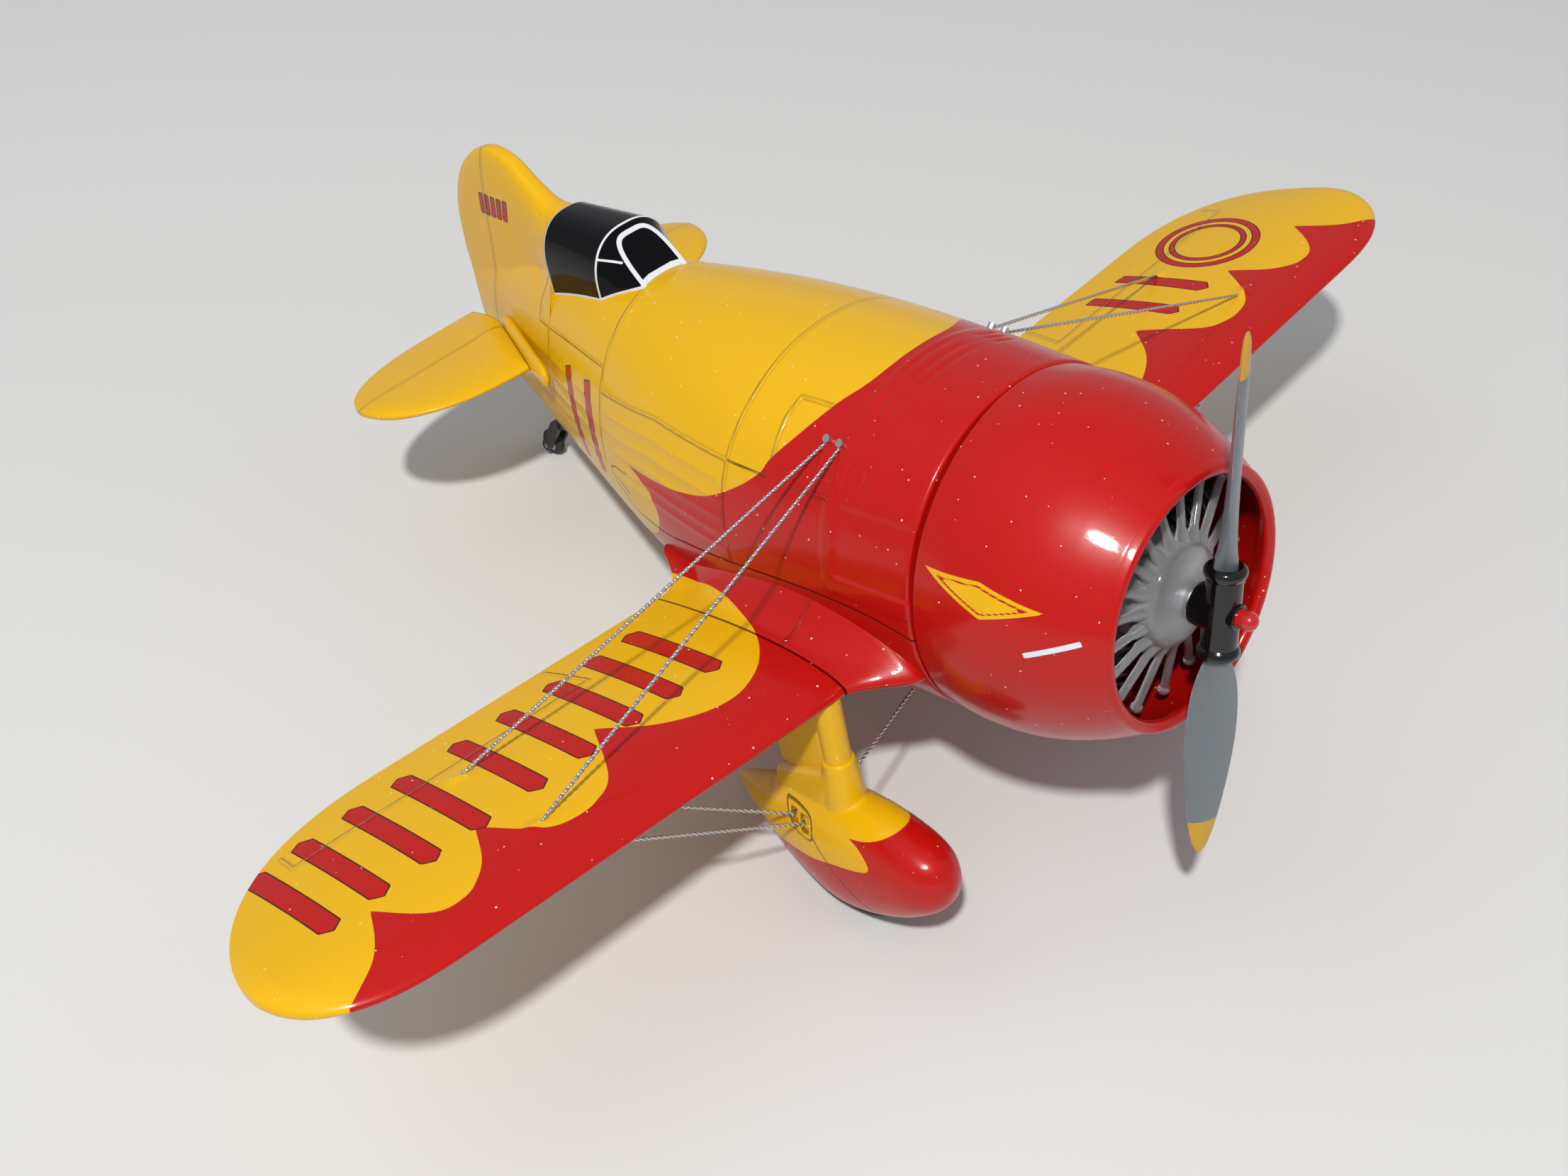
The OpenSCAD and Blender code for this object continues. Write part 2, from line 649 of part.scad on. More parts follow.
// Pylon from the boot down into the spat
module pylon(side) {
    y = side * wheel_track;
    hull() {
        translate([-leg_s, y, boot_top - 1.6]) cylinder(r = leg_r + 0.6, h = 1.6, $fn = 32);
        translate([-leg_s, y, -30]) cylinder(r = leg_r + 1.1, h = 1, $fn = 32);
    }
    hull() {
        translate([-leg_s, y, -30]) cylinder(r = leg_r + 1.1, h = 1, $fn = 32);
        translate([-13, y, -27]) cylinder(r = 1.4, h = 1.4, $fn = 16);
        translate([-22.6, y, -31]) cylinder(r = 0.9, h = 2, $fn = 16);
    }
}
module wheel_well(side) {
    y = side * wheel_track;
    rod_y(well_r, y - well_half, y + well_half, -main_wheel[0], main_wheel[1]);
    translate([-main_wheel[0], y, main_wheel[1] - 8]) cube([2 * well_r - 0.2, 2 * well_half, 17], center = true);
    rod_y(axle_r + 0.04, y - 5.4, y + 5.4, -main_wheel[0], main_wheel[1]);
}
module leg_bore(side) {
    translate([-leg_s, side * wheel_track, boot_top - 4]) cylinder(r = leg_r - 0.6 + seat_gap, h = 5, $fn = 32);
}
// Space behind the split line, which gap moves back and down
module behind_split(side, gap) {
    translate([0, side * wheel_track + 9, 0]) rotate([90, 0, 0]) linear_extrude(height = 18) polygon(concat(
        [for (p = split) [-p[0] - gap, p[1] - gap]], [[-60, split[3][1] - gap], [-60, split[0][1] - gap]]));
}
module spat_recess(side) {
    for (w = spat_anchors)
        translate([-w[0], side * w[1], w[2]]) rotate([0, 45, 0]) cube([2.6, 1.6, 3.6], center = true);
}
module spat_front(side) {
    meshed() difference() {
        spat_body(side);
        wheel_well(side);
        leg_bore(side);
        fairing_slot(side);
        behind_split(side, 0);
        wire_hole(inner_wire(side)[0], side);
    }
}
module spat_rear(side) {
    meshed() difference() {
        intersection() {
            spat_body(side);
            behind_split(side, 0.05);
        }
        wheel_well(side);
        spat_recess(side);
        for (w = spat_anchors) pin_hole(w, side);
    }
}
module right_spat_front() {
    color(red) placed() spat_front(-1);
}
module left_spat_front() {
    color(red) placed() spat_front(1);
}
module right_spat_rear() {
    color(yellow) placed() spat_rear(-1);
}
module left_spat_rear() {
    color(yellow) placed() spat_rear(1);
}

leg_top = wing_z(wheel_track) - 0.5;
fairing_aft = 22.6;
module fairing_plan(side, grow = 0) {
    polygon([[-leg_s, 1 + grow], [-fairing_aft + 3, 0.7 + grow], [-fairing_aft - grow, 0.25 + grow],
        [-fairing_aft - grow, -0.25 - grow], [-fairing_aft + 3, -0.7 - grow], [-leg_s, -1 - grow]]);
}
module gear_leg(side) {
    y = side * wheel_track;
    meshed() difference() {
        union() {
            translate([-leg_s, y, boot_top + 0.02]) cylinder(r = leg_r, h = leg_top - boot_top, $fn = 32);
            translate([-leg_s, y, boot_top - 3.9]) cylinder(r = leg_r - 0.6, h = 5, $fn = 32);
            translate([0, y, boot_top - 7]) linear_extrude(height = leg_top - boot_top + 7) fairing_plan(side);
        }
        wing_solid(side);
    }
}
module fairing_slot(side) {
    translate([0, side * wheel_track, boot_top - 7.1]) linear_extrude(height = 12) fairing_plan(side, seat_gap);
}
module right_gear_leg() {
    color(yellow) placed() gear_leg(-1);
}
module left_gear_leg() {
    color(yellow) placed() gear_leg(1);
}

module tyre(side) {
    half = tyre_w / 2;
    rotate([90, 0, 0]) rotate_extrude($fn = 64) polygon([
        [6.2, -half + 0.5], [7, -half], [8.2, -half], [9.1, -half + 0.7], [tyre_r, -half + 1.7],
        [tyre_r, half - 1.7], [9.1, half - 0.7], [8.2, half], [7, half], [6.2, half - 0.5]
    ]);
}
module wheel_hub(side) {
    half = tyre_w / 2;
    rotate([90, 0, 0]) difference() {
        rotate_extrude($fn = 64) polygon([
            [0, -half - 0.3], [1.9, -half - 0.3], [1.9, -1], [4.6, -1], [5.6, -half + 0.5], [6.2, -half + 0.5],
            [6.2, half - 0.5], [5.6, half - 0.5], [4.6, 1], [1.9, 1], [1.9, half + 0.3], [0, half + 0.3]
        ]);
        translate([0, 0, -10]) cylinder(r = axle_r + run_fit, h = 20);
    }
}
module at_wheel(side) {
    placed() translate([-main_wheel[0], side * wheel_track, main_wheel[1]]) children();
}
module right_tyre() {
    color(black) at_wheel(-1) tyre();
}
module left_tyre() {
    color(black) at_wheel(1) tyre();
}
module right_wheel_hub() {
    color(silver) at_wheel(-1) wheel_hub();
}
module left_wheel_hub() {
    color(silver) at_wheel(1) wheel_hub();
}
module right_axle() {
    color(steel) at_wheel(-1) rod_y(axle_r, -5, 5);
}
module left_axle() {
    color(steel) at_wheel(1) rod_y(axle_r, -5, 5);
}

// Tail wheel: a stem in the belly, a fork and a small tyre
tail_half = 0.9;
fork_gap = tail_half + end_gap;
stem_top = -6;
module tail_socket() {
    translate([-114, 0, -30]) cylinder(r = 1.2 + seat_gap, h = 30 + stem_top + 0.1, $fn = 24);
}
module tail_wheel_fork() {
    crown_z = tail_wheel[1] + tail_wheel_r + 0.9;
    color(black) placed() difference() {
        union() {
            translate([-114, 0, crown_z + 3]) cylinder(r = 1.2, h = stem_top - crown_z - 3);
            translate([-114, 0, crown_z + 2.6]) sphere(r = 1.6);
            for (side = [-1, 1]) hull() {
                translate([-115, side * (fork_gap + 0.4), crown_z + 2.4]) cube([1.8, 0.8, 1.4], center = true);
                rod_y(1.1, side > 0 ? fork_gap : -fork_gap - 0.8, side > 0 ? fork_gap + 0.8 : -fork_gap,
                    -tail_wheel[0], tail_wheel[1]);
            }
            translate([-115, 0, crown_z + 2.4]) cube([1.8, 2 * fork_gap + 1.6, 1.4], center = true);
        }
        rod_y(0.5, -4, 4, -tail_wheel[0], tail_wheel[1]);
    }
}
module at_tail_wheel() {
    placed() translate([-tail_wheel[0], 0, tail_wheel[1]]) children();
}
module tail_tyre() {
    color(black) at_tail_wheel() rotate([90, 0, 0]) rotate_extrude() polygon([
        [1.5, -tail_half], [2.1, -tail_half], [tail_wheel_r, -tail_half + 0.5],
        [tail_wheel_r, tail_half - 0.5], [2.1, tail_half], [1.5, tail_half]
    ]);
}
module tail_wheel_hub() {
    color(silver) at_tail_wheel() rotate([90, 0, 0]) difference() {
        translate([0, 0, -tail_half]) cylinder(r = 1.5, h = 2 * tail_half);
        translate([0, 0, -5]) cylinder(r = 0.5 + run_fit, h = 10);
    }
}
module tail_axle() {
    color(steel) at_tail_wheel() rod_y(0.5, -fork_gap - 0.8, fork_gap + 0.8);
}

// ---- Bracing wires and their fittings ----
// Wire ends as [station, distance from the centre line, height]
wing_anchors = [[18, 80, -3.9], [35.6, 80, -4.3]];
fuselage_eyes = [[16.8, 17.2, 20.2], [19.3, 17.2, 20.2]];
spat_anchors = [[14.5, 39.9, -32.6], [16.9, 39.6, -32.2]];
under_anchors = [[18, 80, -7.3], [35.6, 80, -6.7]];
function mirrored(w, side) = [-w[0], side * w[1], w[2]];
function inner_wire(side) = [[-7.3, side * 33.3, -22], [-12.9, side * 14.8, -22.9]];
module anchor_hole(w, side) {
    translate([-w[0], side * w[1], w[2] - 2]) cylinder(r = 0.6, h = 6, $fn = 16);
}
module pin_hole(w, side) {
    rod_y(0.4, side > 0 ? w[1] - 3 : -w[1] - 3, side > 0 ? w[1] + 3 : -w[1] + 3, -w[0], w[2]);
}
module eye_hole(w, side) {
    translate(mirrored(w, side)) rotate([side * -48, 0, 0]) translate([0, 0, -2]) cylinder(r = 0.62, h = 6, $fn = 16);
}
module wire_hole(p, side) {
    translate(p) sphere(r = 0.6, $fn = 16);
}
module upper_wires(side) {
    for (i = [0, 1]) wire(mirrored(wing_anchors[i] + [0, 0, 0.7], side), mirrored(fuselage_eyes[i] + [0, 0.5, 0.3], side));
}
module lower_wires(side) {
    for (i = [0, 1]) wire(mirrored(spat_anchors[i] + [0, 0.6, 0], side), mirrored(under_anchors[i], side));
}
module right_upper_wires() {
    color(steel) placed() upper_wires(-1);
}
module left_upper_wires() {
    color(steel) placed() upper_wires(1);
}
module right_lower_wires() {
    color(steel) placed() lower_wires(-1);
}
module left_lower_wires() {
    color(steel) placed() lower_wires(1);
}
module right_inner_wire() {
    color(steel) placed() wire(inner_wire(-1)[0], inner_wire(-1)[1]);
}
module left_inner_wire() {
    color(steel) placed() wire(inner_wire(1)[0], inner_wire(1)[1]);
}
module fuselage_wire_eyes() {
    color(steel) placed() for (side = [-1, 1], w = fuselage_eyes)
        translate(mirrored(w, side)) rotate([side * -48, 0, 0]) cylinder(r = 0.6, h = 1.2, $fn = 16);
}
module wing_lugs(side) {
    for (w = wing_anchors) translate([-w[0], side * w[1], w[2] - 1.6]) cylinder(r = 0.58, h = 2.1, $fn = 16);
}
module right_wing_lugs() {
    color(steel) placed() wing_lugs(-1);
}
module left_wing_lugs() {
    color(steel) placed() wing_lugs(1);
}
module spat_pins(side) {
    for (w = spat_anchors) rod_y(0.38, side > 0 ? w[1] - 2.6 : -w[1] - 0.5, side > 0 ? w[1] + 0.5 : -w[1] + 2.6, -w[0], w[2]);
}
module right_spat_pins() {
    color(steel) placed() spat_pins(-1);
}
module left_spat_pins() {
    color(steel) placed() spat_pins(1);
}

fuselage_upper();
fuselage_lower();
canopy();
body_screws();
cowl();
engine_plate();
cylinder_bank();
crankcase();
pushrod_tubes();
prop_bush();
prop_shaft();
shaft_retainer();
prop_hub();
prop_blade_upper();
prop_blade_lower();
nose_cap();
right_wing();
left_wing();
wing_screws();
right_stabiliser();
left_stabiliser();
right_gear_leg();
left_gear_leg();
right_spat_front();
left_spat_front();
right_spat_rear();
left_spat_rear();
right_tyre();
left_tyre();
right_wheel_hub();
left_wheel_hub();
right_axle();
left_axle();
tail_wheel_fork();
tail_tyre();
tail_wheel_hub();
tail_axle();
right_upper_wires();
left_upper_wires();
right_lower_wires();
left_lower_wires();
right_inner_wire();
left_inner_wire();
fuselage_wire_eyes();
right_wing_lugs();
left_wing_lugs();
right_spat_pins();
left_spat_pins();
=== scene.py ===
# %% [markdown]
# # Wire-braced racing monoplane, a die-cast display model
# The real thing is a heavy little desk model: two glossy castings for the barrel body, separate wings,
# a cowl with a toy engine in it, and twisted silver cords for the bracing. The CAD model already holds
# every size and joint. This lesson loads it as the frame and makes each visible piece again as a dense
# mesh, so that paint edges, panel lines and rolled rims show as they do on the model.

# %% The frame
import json
import math

import bmesh
import bpy
import numpy as np
from mathutils import Matrix, Vector


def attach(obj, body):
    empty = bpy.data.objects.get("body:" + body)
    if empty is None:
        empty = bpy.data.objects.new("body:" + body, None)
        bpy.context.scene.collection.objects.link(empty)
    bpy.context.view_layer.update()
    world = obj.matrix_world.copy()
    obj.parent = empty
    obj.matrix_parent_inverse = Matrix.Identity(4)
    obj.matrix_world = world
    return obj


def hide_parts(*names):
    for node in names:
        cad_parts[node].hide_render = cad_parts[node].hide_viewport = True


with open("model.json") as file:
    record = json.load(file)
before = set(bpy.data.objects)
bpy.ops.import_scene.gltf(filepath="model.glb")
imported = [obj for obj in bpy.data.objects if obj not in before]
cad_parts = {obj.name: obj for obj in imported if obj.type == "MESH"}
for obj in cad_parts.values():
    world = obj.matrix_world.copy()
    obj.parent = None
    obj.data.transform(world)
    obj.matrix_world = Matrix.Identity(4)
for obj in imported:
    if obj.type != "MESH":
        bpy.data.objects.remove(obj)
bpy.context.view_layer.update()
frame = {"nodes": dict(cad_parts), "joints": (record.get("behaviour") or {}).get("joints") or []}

# %% [markdown]
# ## The airframe's own axes
# A maker draws an aircraft level: X forward along the thrust line, Y to port, Z up, in millimetres. The
# model stands tail down, so the whole drawing is tilted afterwards. The tilt and the place come from the
# propeller's joint in the frame, so they can't drift away from the CAD model. A "station" is a distance
# behind the joint between cowl and body.

# %% Placement
MM = 0.001
HUB_X = 32.2

spin = next(j for j in frame["joints"] if j["child"] == "propeller")
thrust = Vector(spin["axis"])
hub_spot = Vector(spin["pos_m"])
pitch = math.atan2(thrust.z, thrust.x)
AIRFRAME = (
    Matrix.Translation(hub_spot - thrust * HUB_X * MM)
    @ Matrix.Rotation(-pitch, 4, "Y")
    @ Matrix.Scale(MM, 4)
)
print(f"airframe tilted {math.degrees(pitch):.2f} degrees")

# %% [markdown]
# ## Curves, sheets and outlines
# Every skin here is a grid of points: one row for each station and one column for each place round the
# section. That is how a lofted hull is made, and it keeps the points even, which a sculpted or
# subdivided box would not. Paint edges and panel lines are stored on the points as distances in
# millimetres. A distance is smooth where a colour is not, so an edge stays sharp between the points.


# %% Curve through a table
def curve(x, table):
    """Smooth curve through (position, value) pairs."""
    p = np.array(table, float)
    slope = np.empty(len(p))
    slope[1:-1] = (p[2:, 1] - p[:-2, 1]) / (p[2:, 0] - p[:-2, 0])
    slope[0] = (p[1, 1] - p[0, 1]) / (p[1, 0] - p[0, 0])
    slope[-1] = (p[-1, 1] - p[-2, 1]) / (p[-1, 0] - p[-2, 0])
    x = np.clip(x, p[0, 0], p[-1, 0])
    i = np.clip(np.searchsorted(p[:, 0], x, side="right") - 1, 0, len(p) - 2)
    h = p[i + 1, 0] - p[i, 0]
    u = (x - p[i, 0]) / h
    return (
        (2 * u**3 - 3 * u**2 + 1) * p[i, 1]
        + (u**3 - 2 * u**2 + u) * h * slope[i]
        + (3 * u**2 - 2 * u**3) * p[i + 1, 1]
        + (u**3 - u**2) * h * slope[i + 1]
    )


def follow(x, pairs):
    """Straight lines through (position, value) pairs."""
    table = np.array(sorted(pairs), float)
    return np.interp(x, table[:, 0], table[:, 1])


def unit(v):
    return np.clip(v, 0, 1)


def bulge(r, p):
    return (1 - unit(r) ** p) ** (1 / p)


def soft_step(x, width=0.25):
    """0 below zero and 1 above it, with a rounded change."""
    return 0.5 + 0.5 * np.tanh(x / width)


def signed_power(v, p):
    return np.sign(v) * np.abs(v) ** p


def turn_angles(count):
    """Even angles round a full turn."""
    return np.linspace(0, 2 * np.pi, count, endpoint=False)


# %% Outlines and their distances
def rounded(points, steps=8):
    """A smooth line through a few points."""
    p = np.array(points, float)
    ends = np.vstack([2 * p[0] - p[1], p, 2 * p[-1] - p[-2]])
    out = []
    for a, b, c, d in zip(ends, ends[1:], ends[2:], ends[3:]):
        for t in np.linspace(0, 1, steps, endpoint=False):
            out.append(
                0.5 * (2 * b + (c - a) * t + (2 * a - 5 * b + 4 * c - d) * t**2 + (3 * b - a - 3 * c + d) * t**3)
            )
    return [tuple(q) for q in out] + [tuple(p[-1])]


def line_distance(x, y, points):
    """Distance from each place to an open line."""
    best = np.full(np.shape(x), 1e6)
    for (ax, ay), (bx, by) in zip(points, points[1:]):
        dx, dy = bx - ax, by - ay
        t = unit(((x - ax) * dx + (y - ay) * dy) / max(dx * dx + dy * dy, 1e-9))
        best = np.minimum(best, np.hypot(x - ax - t * dx, y - ay - t * dy))
    return best


def inside_by(x, y, points):
    """Distance to a closed outline, positive inside it."""
    loop = list(points) + [points[0]]
    inside = np.zeros(np.shape(x), bool)
    for (ax, ay), (bx, by) in zip(loop, loop[1:]):
        if ay == by:
            continue
        crosses = (ay > y) != (by > y)
        inside ^= crosses & (x < (bx - ax) * (y - ay) / (by - ay) + ax)
    return np.where(inside, 1, -1) * line_distance(x, y, loop)


# %% Sheets and parts
FAR = 9.0
FIELDS = {"paint": -FAR, "mark": -FAR, "white": -FAR, "groove": FAR, "bead": FAR}


def sheet(points, closed=False, caps=False, **fields):
    """One part: a grid of rows and columns. closed joins the last column to the first."""
    rows, cols = points.shape[:2]
    index = np.arange(rows * cols).reshape(rows, cols)
    left = index if closed else index[:, :-1]
    right = np.roll(index, -1, 1) if closed else index[:, 1:]
    quads = np.stack([left[:-1], right[:-1], right[1:], left[1:]], -1).reshape(-1, 4)
    faces = quads.tolist()
    if caps:
        faces += [index[0][::-1].tolist(), index[-1].tolist()]
    flat = {k: np.broadcast_to(v, (rows, cols)).reshape(-1) for k, v in fields.items()}
    return {"points": points.reshape(-1, 3), "faces": faces, "fields": flat}


def mirrored(part):
    """The same part on the other side of the centre line."""
    return {
        "points": part["points"] * np.array([1, -1, 1]),
        "faces": [f[::-1] for f in part["faces"]],
        "fields": part["fields"],
    }


def outward(part, side):
    """The part with its faces turned over, on its own side."""
    part["faces"] = [f[::-1] for f in part["faces"]]
    return part if side > 0 else mirrored(part)


def surface_normals(points, closed=False):
    """Outward directions of a grid whose faces point outward."""
    along = np.gradient(points, axis=0)
    if closed:
        round_it = np.roll(points, -1, 1) - np.roll(points, 1, 1)
    else:
        round_it = np.gradient(points, axis=1)
    normal = np.cross(round_it, along)
    return normal / np.maximum(np.linalg.norm(normal, axis=-1, keepdims=True), 1e-9)


# %% Meshes from parts
def placed(points, matrix):
    """Points moved by a 4 by 4 matrix."""
    m = np.array(matrix)
    return points @ m[:3, :3].T + m[:3, 3]


def joined(parts):
    """Points and faces of several parts, numbered on."""
    points, faces, start = [], [], 0
    for part in parts:
        points.append(part["points"])
        faces += [[i + start for i in f] for f in part["faces"]]
        start += len(part["points"])
    return np.vstack(points), faces


def piece(name, parts, material, nodes, body="airframe", crease=35):
    """Joins parts into one object that rides on a body in place of some CAD nodes."""
    points, faces = joined(parts)
    mesh = bpy.data.meshes.new(name)
    mesh.from_pydata(placed(points, AIRFRAME).tolist(), [], faces)
    painted = any(part["fields"] for part in parts)
    for label, missing in FIELDS.items() if painted else ():
        values = [part["fields"].get(label, np.full(len(part["points"]), missing)) for part in parts]
        mesh.attributes.new(label, "FLOAT", "POINT").data.foreach_set("value", np.concatenate(values))
    mesh.shade_smooth()
    mesh.set_sharp_from_angle(angle=math.radians(crease))
    obj = bpy.data.objects.new(name, mesh)
    bpy.context.scene.collection.objects.link(obj)
    mesh.materials.append(material)
    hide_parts(*nodes)
    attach(obj, body)
    print(f"{name}: {len(mesh.vertices)} points on {body}")


# %% [markdown]
# ## Finishes
# The paint is a thick toy enamel: a deep colour under a clear, nearly perfect gloss, with a little dust
# in it. One node group, "pattern", turns the distances on the points into colour and height, and it
# darkens a thin line along the foot of each raised bead as painted shade. Another, "dust", makes the pale
# specks. Both could be painted as image textures, but a distance keeps its edge at any size and needs no unwrapping.


# %% Node helpers
def group(name, inputs, outputs):
    """New node group. Sockets are (name, kind, value) and (name, kind)."""
    g = bpy.data.node_groups.new(name, "ShaderNodeTree")
    for label, kind, value in inputs:
        s = g.interface.new_socket(label, in_out="INPUT", socket_type="NodeSocket" + kind)
        s.default_value = value
    for label, kind in outputs:
        g.interface.new_socket(label, in_out="OUTPUT", socket_type="NodeSocket" + kind)
    return g, g.nodes.new("NodeGroupInput").outputs, g.nodes.new("NodeGroupOutput").inputs


def feed(tree, n, pairs):
    """Sets or links inputs of a node. pairs are (input, value or socket)."""
    for key, value in pairs:
        if isinstance(value, bpy.types.NodeSocket):
            tree.links.new(value, n.inputs[key])
        else:
            n.inputs[key].default_value = value


def node(tree, kind, values=(), **settings):
    """New node. values are (input, value or socket) pairs."""
    n = tree.nodes.new("ShaderNode" + kind)
    for key, value in settings.items():
        setattr(n, key, value)
    feed(tree, n, values)
    return n


def maths(tree, operation, *values):
    return node(tree, "Math", list(enumerate(values)), operation=operation).outputs[0]


def ramp(tree, value, low, high, smooth=False):
    """0 at low and 1 at high."""
    kind = "SMOOTHSTEP" if smooth else "LINEAR"
    pairs = [("Value", value), ("From Min", low), ("From Max", high)]
    return node(tree, "MapRange", pairs, interpolation_type=kind).outputs["Result"]


def blend(tree, mask, first, second):
    n = node(tree, "Mix", data_type="RGBA")
    feed(tree, n, ((0, mask), (6, first), (7, second)))
    return n.outputs[2]


def field(tree, name):
    return node(tree, "Attribute", attribute_name=name).outputs["Fac"]


# %% Dust group
def dust_group():
    g, given, out = group(
        "dust",
        [("Spacing", "Float", 4.0), ("Size", "Float", 0.1)],
        [("Specks", "Float"), ("Haze", "Float")],
    )
    place = node(g, "TexCoord").outputs["Object"]
    scale = maths(g, "DIVIDE", 1 / MM, given["Spacing"])
    cells = node(g, "TexVoronoi", [("Vector", place), ("Scale", scale), ("Randomness", 1.0)])
    radius = maths(g, "DIVIDE", given["Size"], given["Spacing"])
    pick = node(g, "SeparateColor", [("Color", cells.outputs["Color"])]).outputs[0]
    radius = maths(g, "MULTIPLY", radius, pick)
    g.links.new(maths(g, "LESS_THAN", cells.outputs["Distance"], radius), out["Specks"])
    cloud = node(g, "TexNoise", [("Vector", place), ("Scale", 90.0), ("Detail", 4.0)])
    g.links.new(cloud.outputs["Fac"], out["Haze"])
    return g


DUST = dust_group()


# %% Pattern group
def pattern_group():
    g, given, out = group(
        "pattern",
        [
            ("Front Colour", "Color", (0.4, 0, 0, 1)),
            ("Rear Colour", "Color", (0.6, 0.4, 0, 1)),
            ("Mark Colour", "Color", (0.4, 0, 0, 1)),
            ("Outline Colour", "Color", (0.03, 0.005, 0.0, 1)),
        ],
        [("Colour", "Color"), ("Height", "Float"), ("White", "Float")],
    )
    rear = ramp(g, field(g, "paint"), -0.03, 0.03)
    colour = blend(g, rear, given["Front Colour"], given["Rear Colour"])
    mark = field(g, "mark")
    colour = blend(g, ramp(g, mark, -0.26, -0.2), colour, given["Outline Colour"])
    colour = blend(g, ramp(g, mark, -0.02, 0.03), colour, given["Mark Colour"])
    white = ramp(g, field(g, "white"), -0.02, 0.03)
    colour = blend(g, white, colour, (0.62, 0.64, 0.68, 1))
    # Painted shade: a thin darker line along each side of a raised bead, at its foot, stands for the shade there.
    painted_bead_shade = ramp(g, maths(g, "ABSOLUTE", maths(g, "SUBTRACT", field(g, "bead"), 0.38)), 0.22, 0.0, smooth=True)
    colour = blend(g, maths(g, "MULTIPLY", painted_bead_shade, 0.3), colour, blend(g, 0.85, colour, (0.01, 0.003, 0.0, 1)))
    groove = ramp(g, field(g, "groove"), 0.26, 0.06, smooth=True)
    dark = blend(g, 0.75, colour, (0.004, 0.001, 0.0005, 1))
    colour = blend(g, groove, colour, dark)
    g.links.new(colour, out["Colour"])
    bead = ramp(g, field(g, "bead"), 0.36, 0.0, smooth=True)
    height = maths(g, "SUBTRACT", bead, maths(g, "MULTIPLY", groove, 1.2))
    height = maths(g, "ADD", height, maths(g, "MULTIPLY", white, 0.6))
    g.links.new(height, out["Height"])
    g.links.new(white, out["White"])
    return g


PATTERN = pattern_group()


# %% Material helper
def principled(name, roughness, metallic=0.0, colour=(0.5, 0.5, 0.5, 1), coat=0.0, coat_roughness=0.03):
    """New material with its Principled shader's plain values set."""
    m = bpy.data.materials.new(name)
    m.use_nodes = True
    shader = m.node_tree.nodes["Principled BSDF"]
    shader.inputs["Base Color"].default_value = colour
    shader.inputs["Roughness"].default_value = roughness
    shader.inputs["Metallic"].default_value = metallic
    shader.inputs["Coat Weight"].default_value = coat
    shader.inputs["Coat Roughness"].default_value = coat_roughness
    return m, m.node_tree, shader


def placed_group(tree, g, **values):
    n = node(tree, "Group", node_tree=g)
    for key, value in values.items():
        n.inputs[key.replace("_", " ")].default_value = value
    return n.outputs


# %% Enamel
RED = (0.40, 0.004, 0.0022, 1)
YELLOW = (0.66, 0.37, 0.002, 1)
OUTLINE = (0.05, 0.008, 0.002, 1)
DUST_COLOUR = (0.75, 0.62, 0.55, 1)


def enamel(name):
    m, tree, shader = principled(name, 0.32, coat=0.42, coat_roughness=0.035)
    shader.inputs["Specular IOR Level"].default_value = 0.15
    pattern = placed_group(
        tree, PATTERN, Front_Colour=RED, Rear_Colour=YELLOW, Mark_Colour=RED, Outline_Colour=OUTLINE
    )
    dust = placed_group(tree, DUST, Spacing=1.7, Size=0.17)
    colour = blend(tree, maths(tree, "MULTIPLY", dust["Specks"], 0.7), pattern["Colour"], DUST_COLOUR)
    tree.links.new(colour, shader.inputs["Base Color"])
    rough = maths(tree, "MULTIPLY_ADD", dust["Haze"], 0.16, 0.24)
    tree.links.new(maths(tree, "ADD", rough, maths(tree, "MULTIPLY", dust["Specks"], 0.4)), shader.inputs["Roughness"])
    peel = node(tree, "TexNoise", [("Scale", 420.0), ("Detail", 1.0)]).outputs["Fac"]
    height = maths(tree, "MULTIPLY_ADD", peel, 0.02, pattern["Height"])
    bump = node(tree, "Bump", [("Height", height), ("Distance", 0.00026), ("Strength", 1.0)])
    tree.links.new(bump.outputs["Normal"], shader.inputs["Normal"])
    tree.links.new(bump.outputs["Normal"], shader.inputs["Coat Normal"])
    return m


two_colour = enamel("two-colour enamel")
cowl_enamel = enamel("cowl enamel")
print("enamels:", two_colour.name, "and", cowl_enamel.name)

# %% [markdown]
# ## The barrel body
# The body is a fat barrel that narrows to a knife-edge fin, cast in two halves that meet along the side.
# It could be a subdivided cylinder, but its section is a rounded square that changes all the way, so it
# is lofted from the same curves as the CAD casting. The raised collar, the sunk side panels, the louvres
# and the soft ridges are pushed out of or into the points. The thin seams and beads are distances for
# the paint.

# %% Body curves
BODY_HALF = [(0, 25.4), (18, 26.4), (36, 26.4), (50, 25), (62, 22.6), (74, 19), (86, 15), (98, 11),
             (109, 7.2), (118, 4.2), (125, 2.2), (129.8, 0.8)]
BODY_TOP = [(0, 25.2), (18, 26.2), (36, 26.8), (50, 26.9), (62, 26.5), (74, 25.8), (86, 24.8), (98, 22.8),
            (109, 20), (118, 17), (129.8, 14)]
BODY_BASE = [(0, -25.4), (18, -27), (36, -27.4), (50, -26.4), (62, -24.2), (74, -21.4), (86, -18.2),
             (98, -14.8), (109, -11.4), (118, -8.4), (125, -5), (128.6, 0), (129.8, 6)]
FIN_TOP = [(95, 33), (99, 33.6), (103, 36.2), (107, 39.2), (111, 40.6), (115, 40.4), (119, 38.7),
           (123.5, 35.2), (127, 30.4), (129, 25.4), (129.8, 20)]
FIN_HALF = [(95, 7), (99, 4.9), (103, 3.4), (108, 2.5), (114, 2.1), (120, 1.6), (126, 1), (129.8, 0.5)]
FIN_POWER = [(95, 2.2), (103, 3), (110, 4.5), (129.8, 5)]
